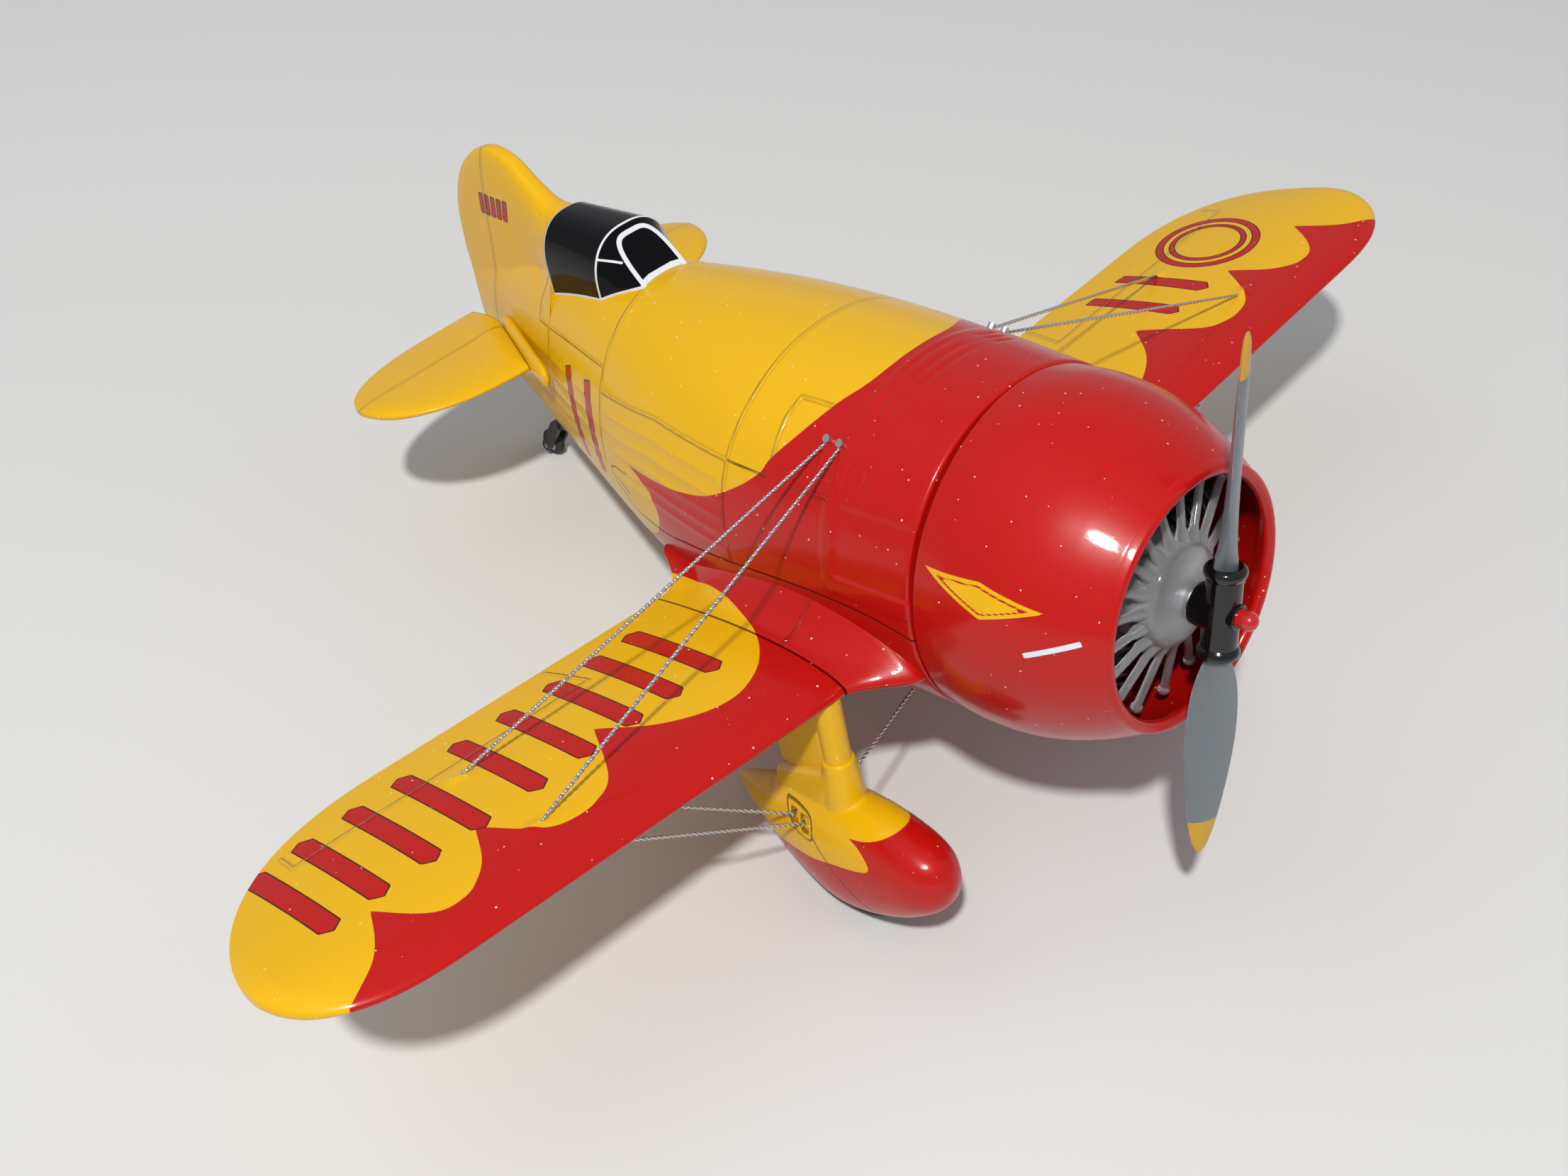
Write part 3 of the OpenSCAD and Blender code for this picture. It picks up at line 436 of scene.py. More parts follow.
SEAM = [(0, -2.4), (4, -1.4), (10, -0.4), (18, -0.1), (27, -0.6), (36, -1.6), (46, -3), (56, -4.6), (66, -4.8),
        (76, -3.6), (90, -1), (118, 2.4), (129.8, 3)]
FIN_START = 95.0
FIN_ROOT = 12.0
BODY_POWER = 2.15


def skin(s, z):
    """Half width of the body and fin at a station and height."""
    limit = np.where(z >= 0, curve(s, BODY_TOP), -curve(s, BODY_BASE))
    barrel = curve(s, BODY_HALF) * bulge(np.abs(z) / limit, BODY_POWER)
    power = curve(s, FIN_POWER)
    grow = unit(np.maximum((s - FIN_START) / 9, (z - FIN_ROOT + 2) / 12))
    fin = curve(s, FIN_HALF) * grow * bulge((z - FIN_ROOT) / (curve(s, FIN_TOP) - FIN_ROOT), power)
    return (barrel**3 + np.where(s < FIN_START, 0, fin) ** 3) ** (1 / 3)


def crown(s):
    return np.where(s < FIN_START, curve(s, BODY_TOP), np.maximum(curve(s, BODY_TOP), curve(s, FIN_TOP)))


# %% Paint edge on the body
RED_FLANK = (
    [(-2, 60), (18.2, 60)]
    + rounded([(18.2, 30), (18.3, 25.9), (21.3, 23.4), (24.9, 19.9), (28.2, 16.6), (29.6, 14.5),
               (34.2, 11.3), (40.2, 8.3), (46.1, 6.7), (54.5, 5.4), (63.6, 4.5)])
    + rounded([(63.6, 4.5), (59.2, 3.5), (56.8, 2.2), (55.6, -1), (56.7, -4), (60, -7.5), (66, -10)])
    + rounded([(66, -10), (60, -12.5), (57, -16.5), (54, -21), (50, -27), (49, -34)])
    + [(-2, -34)]
)
SIDE_BARS = [
    [(87.4, 11.2), (85.4, 12), (83.6, -4), (85.6, -4.4)],
    [(79.4, 12), (77.2, 12.6), (75.9, -3.2), (78.1, -3.8)],
]
FIN_BARS = [[(109.6 + 1.9 * k, 31.7), (110.6 + 1.9 * k, 31.7), (111.8 + 1.8 * k, 28), (110.8 + 1.8 * k, 28)]
            for k in range(5)]


def body_paint(s, z):
    return -inside_by(s, z, RED_FLANK)


def body_marks(s, z):
    return np.maximum.reduce([inside_by(s, z, shape) for shape in SIDE_BARS + FIN_BARS])


# %% Panel lines on the body
LONG_LINE = [(16.2, 14.5), (36.6, 14.5), (55, 14.9), (73, 12.7)]
BEADS = [
    [(36.2, -2), (36.5, 8), (36.4, 16), (35.6, 24), (35.2, 40)],
    [(74, -1), (73.4, 5.7), (72.9, 12), (72.2, 21), (71.4, 40)],
    [(95.8, 24), (98.8, 18.4), (99.1, 14.8)],
    [(99.1, 14.8), (86, 15.7), (73.2, 16.4)],
    [(95, 14.9), (95, 9.5)],
    [(27.7, 16.3), (28.2, 21.3), (27.5, 23.2)],
    [(27.5, 23.2), (21.6, 23.2)],
    [(16.2, 14.5), (21.6, 14.5)],
    [(114.2, 41), (116.2, 33.1), (118.4, 23.3), (120.5, 14.6), (122.1, 6.7), (123, -4)],
]
GROOVES = [
    [(28, 14.5), (36.6, 14.5)],
    [(66, -4), (70.6, -2.4), (71.7, 0.2), (69.5, 1.2), (64.9, 2)],
    [(65.5, -2.2), (69.4, -1)],
]
LONG_SPAN = (36.6, 73)
SOFT_RIDGES = [2.9, 5.8, 8.6, 11.2, 13.6]
RIDGE_FORE = 0.17
RIDGE_AFT = 0.1
SKIN_RADIUS = 26.6


def around(z):
    """Height turned into a length along the barrel's skin."""
    return SKIN_RADIUS * np.arcsin(np.clip(np.asarray(z) / SKIN_RADIUS, -1, 1))


def skin_distance(s, z, line):
    return line_distance(s, around(z), [(a, float(around(b))) for a, b in line])


def body_lines(s, z, side_on):
    """Distances to the beads and the grooves. side_on is 1 where the skin faces sideways."""
    reach = 1 / np.maximum(side_on, 0.12)
    bead = np.full(np.shape(s), FAR)
    for line in BEADS:
        low, high = min(p[1] for p in line), max(p[1] for p in line)
        if high - low > 4:
            across = np.abs(s - follow(z, [(b, a) for a, b in line]))
            bead = np.minimum(bead, np.where((z > low) & (z < high), across, FAR))
        else:
            bead = np.minimum(bead, skin_distance(s, z, line))
    groove = np.minimum.reduce([skin_distance(s, z, line) for line in GROOVES])
    long_one = np.abs(z - follow(s, LONG_LINE)) * np.minimum(reach, 1.3)
    long_one = np.where((s > LONG_SPAN[0]) & (s < LONG_SPAN[1]), long_one, FAR)
    return np.minimum(bead, long_one), groove


# %% Raised and sunk places on the body
COLLAR_EDGE = [(-8, 15.3), (0.9, 15.6), (8, 16.3), (20, 16.6), (30, 16.9)]
LOUVRES = [(78, 102, (15.5, 13.2, 11.2)), (61, 70, (14.2, 12.5, 10.9)), (37, 46, (14.1, 12.4, 10.9))]


def body_relief(s, z, angle):
    """How far the skin stands out of the plain barrel."""
    collar = soft_step(follow(z, COLLAR_EDGE) - s) * soft_step(z - 1.3)
    panel = soft_step(13.9 - s) * soft_step(z - 4.3) * soft_step(14.2 - z)
    relief = 0.2 * collar - 0.22 * panel
    for low, high, spots in LOUVRES:
        window = soft_step(angle - low, 1.5) * soft_step(high - angle, 1.5)
        for spot in spots:
            relief = relief - 0.22 * window * np.exp(-(((s - spot) / 0.34) ** 2))
    fore = RIDGE_FORE * soft_step(71 - s, 1.5)
    aft = RIDGE_AFT * soft_step(s - 76, 1.5) * soft_step(112 - s, 6)
    along = soft_step(s - 38, 1.0) * (fore + aft)
    for drop in SOFT_RIDGES:
        near = (z - follow(s, LONG_LINE) + drop) / 0.5
        relief = relief + along * np.exp(-(near**2))
    return relief


# %% Body castings
def casting(top_half, count):
    """The upper or lower casting as one sheet, seam to seam."""
    fine = [0.5, 0.55, 0.7, *np.arange(0.95, 94.9, 0.4), 94.98, 95.02, *np.arange(95.3, 129.6, 0.33), 129.8]
    s = np.array(fine)[:, None]
    k = np.linspace(-1, 1, 2 * count + 1)[None, :]
    z0 = curve(s, SEAM) + (0.04 if top_half else -0.04)
    z1 = crown(s) if top_half else curve(s, BODY_BASE)
    z = z0 + (z1 - z0) * np.cos(0.5 * np.pi * k)
    side = np.sign(k) * (1 if top_half else -1)
    y = np.where(np.abs(k) < 1e-9, 0, skin(s, z)) * side
    round_off = np.array([0.45, 0.2, 0.05] + [0] * (len(fine) - 3))[:, None]
    shrink = 1 - round_off / 25
    points = np.stack(np.broadcast_arrays(-s, y * shrink, z * shrink), -1)
    normal = surface_normals(points)
    s, side_on = np.broadcast_to(s, z.shape), np.abs(normal[..., 1])
    angle = np.degrees(np.arctan2(z, np.abs(y)))
    if top_half:
        points = points + normal * body_relief(s, z, angle)[..., None]
    bead, groove = body_lines(s, z, side_on)
    groove = np.minimum(groove, np.abs(z - curve(s, SEAM)) + 0.02 + 0.02 * np.maximum(s - 60, 0))
    marks = body_marks(s, z)
    return sheet(points, closed=True, caps=True, paint=body_paint(s, z), mark=marks, bead=bead, groove=groove)


upper = casting(True, 150)
lower = casting(False, 110)

# %% [markdown]
# ## Wings
# Each wing is one casting with a blunt nose and a thin rear edge, and it meets the body's stub along a
# straight joint. The scalloped paint runs across the joint, so one outline in station and span serves
# the stub and the wing. The markings are plain: a row of bars on one wing, two bars and a ring on the
# other.

# %% Wing curves
HALF_SPAN = 120.0
WING_JOINT = 33.2
WING_CHORD = 40.3
WING_NOSE = 7.4
WING_THICK = 4.9
STUB_ROOT = 16
STUB_RISE = [(16, 8), (23, 7.6), (25.2, 6.6), (27, 4), (29, 1.7), (31, 0.5), (33.2, 0)]
STUB_FRONT = [(16, 0.7), (23, 0.7), (25.2, 1), (27, 2.4), (29, 4.4), (31, 6.1), (33.2, 7.4)]
STUB_REAR = [(16, 62), (23, 58), (25.2, 54.5), (27, 51.5), (29, 49.3), (31, 48.1), (33.2, 47.7)]


def leading(y):
    return WING_NOSE + 0.02 * (y - WING_JOINT) + 14.6 * (1 - (1 - unit((y - 95) / (HALF_SPAN - 95)) ** 3) ** 0.5)


def trailing(y):
    return WING_NOSE + WING_CHORD - 24.6 * (1 - (1 - unit((y - 85) / (HALF_SPAN - 85)) ** 2.4) ** (1 / 1.9))


def wing_z(y):
    return -9 + 0.066 * (y - WING_JOINT)


def foil(front, chord, thick, edge, camber, lift, count):
    """Closed section: stations and heights from the rear edge over the lower side and back over the top."""
    k = np.arange(-count, count)[None, :] / count
    u = (1 - np.cos(np.pi * np.abs(k))) / 2
    h = 5 * (0.2969 * np.sqrt(u) - 0.126 * u - 0.3516 * u**2 + 0.2843 * u**3 - 0.1036 * u**4) * thick + edge * u
    mid = camber * 4 * u * (1 - u)
    above = h + lift * np.sin(np.pi * np.minimum(u * 1.15, 1))
    return front + u * chord, mid + np.where(k < 0, -h * (1 + 0.12 * lift / 8), above), k >= 0


# %% Scallops and markings of the wing
SCALLOPS = (
    [(17, 122)]
    + rounded([(14.4, 120.6), (12.6, 118), (11.9, 115.4), (12.1, 113), (13, 110.5), (15, 107.2),
               (18, 104.8), (22.2, 102.6)])
    + rounded([(22.2, 102.6), (17.6, 99.4), (15.3, 96.7), (14.9, 94), (15.6, 91.4), (18.5, 88), (24.3, 84.8)])
    + rounded([(24.3, 84.8), (18.8, 81), (16.2, 78.2), (15.3, 75.2), (15.5, 71.6), (18, 67.3), (27.5, 62)])
    + rounded([(27.5, 62), (21.5, 56.8), (18.2, 51.7), (16.8, 47), (17.2, 42.6), (19.8, 37.6), (25, 33.2), (32, 30.6),
               (38, 29), (44.4, 27.9), (52, 27.6), (60, 27.8)])
    + [(70, 28), (70, 122)]
)
STARBOARD_BARS = [
    [(23.2, c - 0.6), (24.2, c + 0.9), (42.4, c + 1.7), (43.2, c + 0.2), (42.2, c - 1.3), (24.2, c - 2.1)]
    for c in (43, 50.5, 58, 66.5, 75, 84.5, 92.5, 100.5, 108)
]
PORT_BARS = [
    [(24.2, 78.6), (25.3, 80), (41.4, 77.8), (41.8, 75.6), (25.4, 77.2)],
    [(24.3, 70), (25.4, 71.4), (41.8, 69.4), (42, 67.2), (25.4, 68.8)],
]
RING_CENTRE = (33.8, 92.6)
RING_OUTER = 8.6
RING_INNER = 6.4
HINGE = [(46.8, 56.4), (38.3, 54.4), (38.4, 86), (39, 104.1), (42.5, 104)]


def wing_paint(s, y):
    return inside_by(s, y, SCALLOPS)


def wing_marks(s, y, side):
    if side < 0:
        return np.maximum.reduce([inside_by(s, y, bar) for bar in STARBOARD_BARS])
    bars = np.maximum.reduce([inside_by(s, y, bar) for bar in PORT_BARS])
    out = np.hypot(s - RING_CENTRE[0], y - RING_CENTRE[1])
    return np.maximum.reduce([bars, 0.55 - np.abs(out - RING_OUTER), 0.35 - np.abs(out - RING_INNER)])


# %% Wing and stub sheets
WING_ANCHORS = [(18, 80), (35.6, 80)]


def wing_sheet(side):
    t = np.linspace(0, 1, 330)[:, None]
    y = WING_JOINT + 0.03 + (HALF_SPAN - 0.13 - WING_JOINT) * (1 - (1 - t) ** 1.35)
    chord = trailing(y) - leading(y)
    thick = np.minimum(WING_THICK - 0.018 * (y - WING_JOINT), chord * 0.16 + 0.5)
    s, h, on_top = foil(leading(y), chord, thick, 0.3, 0.6 * chord / WING_CHORD, 0.0, 130)
    y, on_top = np.broadcast_to(y, s.shape), np.broadcast_to(on_top, s.shape)
    z = wing_z(y) + h
    points = np.stack([-s, y, z], -1)
    lugs = sum(np.exp(-((((s - a) / 1.0) ** 2 + ((y - b) / 1.5) ** 2) ** 1.5)) for a, b in WING_ANCHORS)
    points[..., 2] += 0.35 * lugs * on_top
    mark = np.where(on_top, wing_marks(s, y, side), -FAR)
    bead = np.where(on_top, line_distance(s, y, HINGE), FAR)
    groove = np.abs(y - WING_JOINT) + 0.03
    part = sheet(points, closed=True, caps=True, paint=wing_paint(s, y), mark=mark, bead=bead, groove=groove)
    return outward(part, side)


def stub_sheet(side):
    y = np.linspace(STUB_ROOT, WING_JOINT - 0.03, 170)[:, None]
    front, rear = curve(y, STUB_FRONT), curve(y, STUB_REAR)
    s, h, on_top = foil(front, rear - front, WING_THICK, 0.3, 0.6, curve(y, STUB_RISE), 130)
    y = np.broadcast_to(y, s.shape)
    z = np.minimum(wing_z(y) + h, curve(s, SEAM) - 0.03)
    points = np.stack([-s, y, z], -1)
    out = WING_JOINT - (WING_JOINT - y) * 0.9
    bead = np.where(np.broadcast_to(on_top, s.shape), np.abs(s - 20 + 0.05 * (WING_JOINT - y)), FAR)
    groove = np.abs(y - WING_JOINT) + 0.03
    part = sheet(points, closed=True, caps=True, paint=wing_paint(s, out), bead=bead, groove=groove)
    return outward(part, side)


# %% Body and wing pieces
piece("fuselage-lower", [lower, stub_sheet(-1), stub_sheet(1)], two_colour, ["fuselage_lower"])
piece("wing-right", [wing_sheet(-1)], two_colour, ["right_wing"])
piece("wing-left", [wing_sheet(1)], two_colour, ["left_wing"])

# %% [markdown]
# ## Stabilisers and their pads
# The tail planes are small copies of the wing without markings. Each meets the body on a raised pad with
# a rounded edge. The pad belongs to the upper casting, so it is joined to that piece.

# %% Stabilisers
STAB_SPAN = 39.0
STAB_HEIGHT = 8.0
PAD_LINE = [(88, 17.2), (98, 13.6), (117, 5.6), (134, 5.6)]


def stab_lead(y):
    return 98.2 + 16 * (1 - (1 - unit((y - 8) / (STAB_SPAN - 8)) ** 3) ** 0.5)


def stab_trail(y):
    return 126 - 0.04 * y - 11 * (1 - (1 - unit((y - 12) / (STAB_SPAN - 12)) ** 3) ** 0.5)


def stab_sheet(side):
    t = np.linspace(0, 1, 120)[:, None]
    edge_spans = [(b, a) for a, b in PAD_LINE[:3]]
    y = 5.7 + (STAB_SPAN - 0.02 - 5.7) * (1 - (1 - t) ** 1.4)
    lead = np.maximum(stab_lead(y), np.where(y < 13.6, follow(y, edge_spans), 0))
    chord = stab_trail(y) - lead
    s, h, on_top = foil(lead, chord, np.minimum(3.4 - 0.035 * y, chord * 0.12 + 0.5), 0.35, 0.0, 0.0, 70)
    y, on_top = np.broadcast_to(y, s.shape), np.broadcast_to(on_top, s.shape)
    points = np.stack([-s, y, STAB_HEIGHT + h], -1)
    bead = np.abs(s - 114.6 + 0.02 * y) + 0.05
    groove = line_distance(s, y, PAD_LINE)
    part = sheet(points, closed=True, caps=True, paint=FAR, bead=bead, groove=groove)
    return outward(part, side)


def pad_sheet(side):
    """Rounded strip along the root of the stabiliser."""
    t = np.linspace(0, 1, 80)[:, None]
    a = turn_angles(40)[None, :]
    s = 91.5 + 26 * t
    y = follow(s, PAD_LINE) - 1.1
    ends = np.sqrt(np.maximum(1 - (2 * t - 1) ** 8, 0.0))
    size = (2.5 - 0.9 * t) * ends
    points = np.stack(np.broadcast_arrays(-s, y + 1.25 * ends * np.cos(a), STAB_HEIGHT + 0.1 + size * np.sin(a)), -1)
    part = sheet(points, closed=True, caps=True, paint=FAR)
    return part if side > 0 else mirrored(part)


piece("fuselage-upper", [upper, pad_sheet(-1), pad_sheet(1)], two_colour, ["fuselage_upper"])
piece("stabiliser-right", [stab_sheet(-1)], two_colour, ["right_stabiliser"])
piece("stabiliser-left", [stab_sheet(1)], two_colour, ["left_stabiliser"])


# %% [markdown]
# ## The cowl
# The cowl is turned metal with a rolled lip round the mouth, so it is spun from one profile, outside,
# round the lip and back inside. Its side carries a plain yellow dart and a short pale stripe.


# %% Lathe
def lathe(profile, matrix, count):
    """Turns a list of (radius, height) points about its own Z axis."""
    p = np.array(profile, float)
    a = turn_angles(count)[None, :]
    r, h = p[:, :1], p[:, 1:2]
    points = np.stack(np.broadcast_arrays(r * np.cos(a), r * np.sin(a), h + 0 * a), -1)
    return sheet(placed(points, matrix), closed=True)


ALONG_X = Matrix.Rotation(math.radians(90), 4, "Y")


def arc(centre, radius, start, end, count):
    """Points of an arc in the profile plane, angles from outward towards up."""
    a = np.radians(np.linspace(start, end, count))
    return [(centre[0] + radius * math.cos(t), centre[1] + radius * math.sin(t)) for t in a]


# %% Cowl shape and marks
COWL_LINE = [(0.5, 25.8), (6, 26.2), (12, 25.7), (17, 24.4), (21.5, 22.5), (25, 20.6), (27.3, 19.2)]
COWL_LENGTH = 28.3
COWL_MOUTH = 17.4
LIP_R = 1.0
COWL_WALL = 1.4
DART = [(2.2, 10.9), (11.4, 11.4), (20.4, 8.6), (12, 6.6)]
STRIPE = [(18, 2.9), (24.8, 5.2), (25.1, 4.4), (18.3, 2.1)]


def cowl_part():
    lip = (COWL_MOUTH + LIP_R, COWL_LENGTH - LIP_R)
    outside = [(float(curve(x, COWL_LINE)), x) for x in np.arange(0.7, 26.9, 0.22)]
    profile = [(25.5, 0.5), (25.72, 0.56)] + outside + arc(lip, LIP_R, 42, 190, 24)
    profile += [(float(curve(x, COWL_LINE)) - COWL_WALL, x - 0.2) for x in np.arange(25.2, 2.6, -0.6)]
    profile += [(24.45, 2.4), (24.45, 0.5), (25.5, 0.5)]
    part = lathe(profile, ALONG_X, 540)
    p = part["points"]
    dart = inside_by(p[:, 0], p[:, 2], DART)
    out = np.hypot(p[:, 1], p[:, 2]) > np.maximum(curve(p[:, 0], COWL_LINE) - 0.5, 18.6)
    inset = np.abs(dart - 0.62) - 0.13
    part["fields"]["paint"] = np.where(out, np.minimum(dart, inset), -FAR)
    part["fields"]["mark"] = np.full(len(p), -FAR)
    part["fields"]["white"] = np.where(out, inside_by(p[:, 0], p[:, 2], STRIPE), -FAR)
    return part


piece("cowl-shell", [cowl_part()], cowl_enamel, ["cowl"])

# %% [markdown]
# ## Plain finishes
# The engine is black and bright metal, the propeller a silver lacquer full of flake, and the glass of
# the canopy is just gloss black. Each is a Principled shader. The plain finishes have a little noise in
# their roughness and the flake finishes have flakes of two brightnesses, so that no highlight is perfectly even.


# %% Metals, rubber and black
def plain(name, colour, roughness, metallic=0.0, coat=0.0, grain=0.0, grain_scale=900.0, spread=0.1):
    m, tree, shader = principled(name, roughness, metallic, colour, coat)
    dust = placed_group(tree, DUST, Spacing=3.5, Size=0.12)
    uneven = maths(tree, "MULTIPLY_ADD", dust["Haze"], spread, roughness - spread / 2)
    tree.links.new(uneven, shader.inputs["Roughness"])
    lighter = tuple(min(1, c * 1.25 + 0.004) for c in colour[:3]) + (1,)
    tree.links.new(blend(tree, dust["Haze"], colour, lighter), shader.inputs["Base Color"])
    if grain:
        rough = node(tree, "TexNoise", [("Scale", grain_scale), ("Detail", 3.0)]).outputs["Fac"]
        bump = node(tree, "Bump", [("Height", rough), ("Distance", grain * MM), ("Strength", 1.0)])
        tree.links.new(bump.outputs["Normal"], shader.inputs["Normal"])
    return m


def flake(name, colour, size):
    """Silver lacquer: small flakes, each leaning its own way."""
    m, tree, shader = principled(name, 0.3, 0.85, colour, 0.3, 0.12)
    cells = node(tree, "TexVoronoi", [("Scale", 1 / (size * MM)), ("Randomness", 1.0)])
    grey = node(tree, "SeparateColor", [("Color", cells.outputs["Color"])]).outputs[0]
    bright = tuple(min(1, c * 4.0) for c in colour[:3]) + (1,)
    dim = tuple(c * 0.8 for c in colour[:3]) + (1,)
    tree.links.new(blend(tree, ramp(tree, grey, 0.5, 1.0), dim, bright), shader.inputs["Base Color"])
    bump = node(tree, "Bump", [("Height", grey), ("Distance", 0.025 * MM), ("Strength", 0.9)])
    tree.links.new(bump.outputs["Normal"], shader.inputs["Normal"])
    return m, tree, shader


black_metal = plain("black engine paint", (0.012, 0.012, 0.014, 1), 0.42, 0.0, 0.3, 0.02)
black_lacquer = plain("black lacquer", (0.001, 0.001, 0.0015, 1), 0.16, 0.0, 0.25)
bright_cast = flake("bright cast metal", (0.34, 0.355, 0.37, 1), 0.3)[0]
steel_metal = plain("steel", (0.55, 0.56, 0.58, 1), 0.3, 1.0, 0.0, 0.01)
cord_metal = plain("silver cord", (0.6, 0.62, 0.65, 1), 0.2, 1.0)
rubber = plain("tyre rubber", (0.018, 0.018, 0.018, 1), 0.75, 0.0, 0.0, 0.03)
red_cap = plain("red lacquer", (0.36, 0.004, 0.003, 1), 0.22, 0.0, 0.6)

# %% [markdown]
# ## Engine
# Behind the mouth stands a ring of finned cylinders, black, and in front of them a bright casting whose
# pushrod tubes spread like spokes, each ending in a small ball. Every one of these is turned work, so
# each is a lathe profile placed on its own axis.

# %% Engine profiles
BANK_X = 16.0
TUBE_X = 24.6
CRANK_NOSE = 27.6
BOSS_RING = 7.0
TUBE_SWEEP = 14.0
TUBE_COUNT = 18
CYLINDER_COUNT = 9
TUBE_LENGTH = 11.6


def spoke(i, count, x, ring=0.0, sweep=0.0):
    """Axis of the i-th of count spokes round the thrust line."""
    return (
        Matrix.Translation((x, 0, 0))
        @ Matrix.Rotation(2 * math.pi * i / count, 4, "X")
        @ Matrix.Translation((0, 0, ring))
        @ Matrix.Rotation(math.radians(-sweep), 4, "Y")
    )


def cylinder_profile():
    steps = [(0, 7.4), (2.3, 7.4)]
    for i in range(6):
        z = 9.9 + i * 1.35
        steps += [(2.3, z), (3.1, z + 0.12), (3.2, z + 0.3), (3.1, z + 0.6), (2.3, z + 0.75)]
    return steps + [(2.3, 18), (2.8, 18.2), (2.7, 19.4), (2.2, 20.4), (1, 20.75), (0, 20.8)]


def tube_profile():
    foot = [(0, -0.8), (1.4, -0.8), (1.3, -0.3), (1.08, 0.5), (0.9, 1.3), (0.8, 1.9), (0.66, 2.25), (0.62, 2.6)]
    ball = arc((0, TUBE_LENGTH), 0.92, -42, 90, 14)
    return foot + [(0.62, TUBE_LENGTH - 0.9), (0.64, TUBE_LENGTH - 0.7)] + ball


# %% Engine pieces
crank_profile = [(0, BANK_X + 2.5), (7.2, BANK_X + 2.5), (7.5, BANK_X + 2.9), (7.6, BANK_X + 3.5), (7.6, TUBE_X + 0.6)]
crank_profile += [(7.5, TUBE_X + 1.2), (7.1, TUBE_X + 1.8), (6, TUBE_X + 2.45), (4.6, TUBE_X + 2.85)]
crank_profile += [(3.6, TUBE_X + 2.95), (3.4, CRANK_NOSE - 0.05), (2.2, CRANK_NOSE), (0, CRANK_NOSE)]
tubes = [lathe(tube_profile(), spoke(i, TUBE_COUNT, TUBE_X, BOSS_RING, TUBE_SWEEP), 28) for i in range(TUBE_COUNT)]
cylinders = [lathe(cylinder_profile(), spoke(i, CYLINDER_COUNT, BANK_X), 40) for i in range(CYLINDER_COUNT)]
cylinders.append(lathe([(0, 11), (8.4, 11), (8.4, 18.4), (0, 18.4)], ALONG_X, 72))
plate_profile = [(0, -2.6), (23.5, -2.6), (23.5, -0.5), (24.4, -0.5), (24.4, 2.4), (6, 2.4), (6, 11), (0, 11)]
plate = lathe(plate_profile, ALONG_X, 128)
bush = lathe([(1.1, CRANK_NOSE - 1), (2.6, CRANK_NOSE - 1), (2.6, 28.2), (2.4, 28.4), (1.1, 28.4)], ALONG_X, 48)

piece("crankcase-casting", [lathe(crank_profile, ALONG_X, 128)], bright_cast, ["crankcase"])
piece("pushrod-tube-ring", tubes, bright_cast, ["pushrod_tubes"], crease=60)
piece("cylinder-ring", cylinders, black_metal, ["cylinder_bank"])
piece("engine-back-plate", [plate], black_metal, ["engine_plate"])
piece("propeller-bush", [bush], steel_metal, ["prop_bush"])

# %% [markdown]
# ## Propeller
# Two flat blades of silver lacquer with yellow tips plug into a black barrel with a rolled collar at each
# end, and a small red cap closes the shaft. The blades are lofted: one thin section after another, each
# turned to its own pitch. The tip colour is a distance along the blade, so the edge is round like a dip
# in paint.

# %% Propeller shapes
PROP_RADIUS = 38.8
PROP_ANGLE = 11.5
HUB_HALF = 6.8
BARREL_R = 2.5
TIP_START = 33.4
BLADE_HALF = [(0.14, 1.6), (0.178, 1.68), (0.25, 2.7), (0.33, 3.4), (0.45, 3.8), (0.57, 3.75), (0.69, 3.35),
              (0.79, 2.85), (0.87, 2.3), (0.93, 1.75), (0.975, 1.1), (1, 0.45)]
BLADE_THICK = [(0.14, 1.6), (0.178, 1.6), (0.25, 1.25), (0.33, 1.05), (0.45, 0.9), (0.57, 0.8), (0.69, 0.74),
               (0.79, 0.68), (0.87, 0.62), (0.93, 0.56), (0.975, 0.45), (1, 0.2)]
TURNED = Matrix.Translation((HUB_X, 0, 0)) @ Matrix.Rotation(math.radians(-PROP_ANGLE), 4, "X")
LOWER = Matrix.Rotation(math.pi, 4, "X")


def blade_part(matrix):
    t = (1 - (1 - np.linspace(0, 1, 150)) ** 1.3)[:, None]
    p = 0.14 + 0.86 * t
    a = turn_angles(64)[None, :]
    beta = np.radians(28 + 16 * (0.6 - p))
    c, h = curve(p, BLADE_HALF) * np.cos(a), -curve(p, BLADE_THICK) * np.sin(a) * (0.55 + 0.45 * np.abs(np.sin(a)))
    r = PROP_RADIUS * p + 0 * a
    points = np.stack([h * np.cos(beta) - c * np.sin(beta), c * np.cos(beta) + h * np.sin(beta), r], -1)
    return sheet(placed(points, matrix), closed=True, caps=True, paint=r - TIP_START + 0.02 * c**2)


# %% Propeller pieces
def blade_lacquer():
    m, tree, shader = flake("silver lacquer", (0.16, 0.18, 0.195, 1), 0.42)
    silver = shader.inputs["Base Color"].links[0].from_socket
    tip = ramp(tree, field(tree, "paint"), -0.04, 0.04)
    tree.links.new(blend(tree, tip, silver, YELLOW), shader.inputs["Base Color"])
    tree.links.new(maths(tree, "MULTIPLY_ADD", tip, -0.7, 0.7), shader.inputs["Metallic"])
    return m


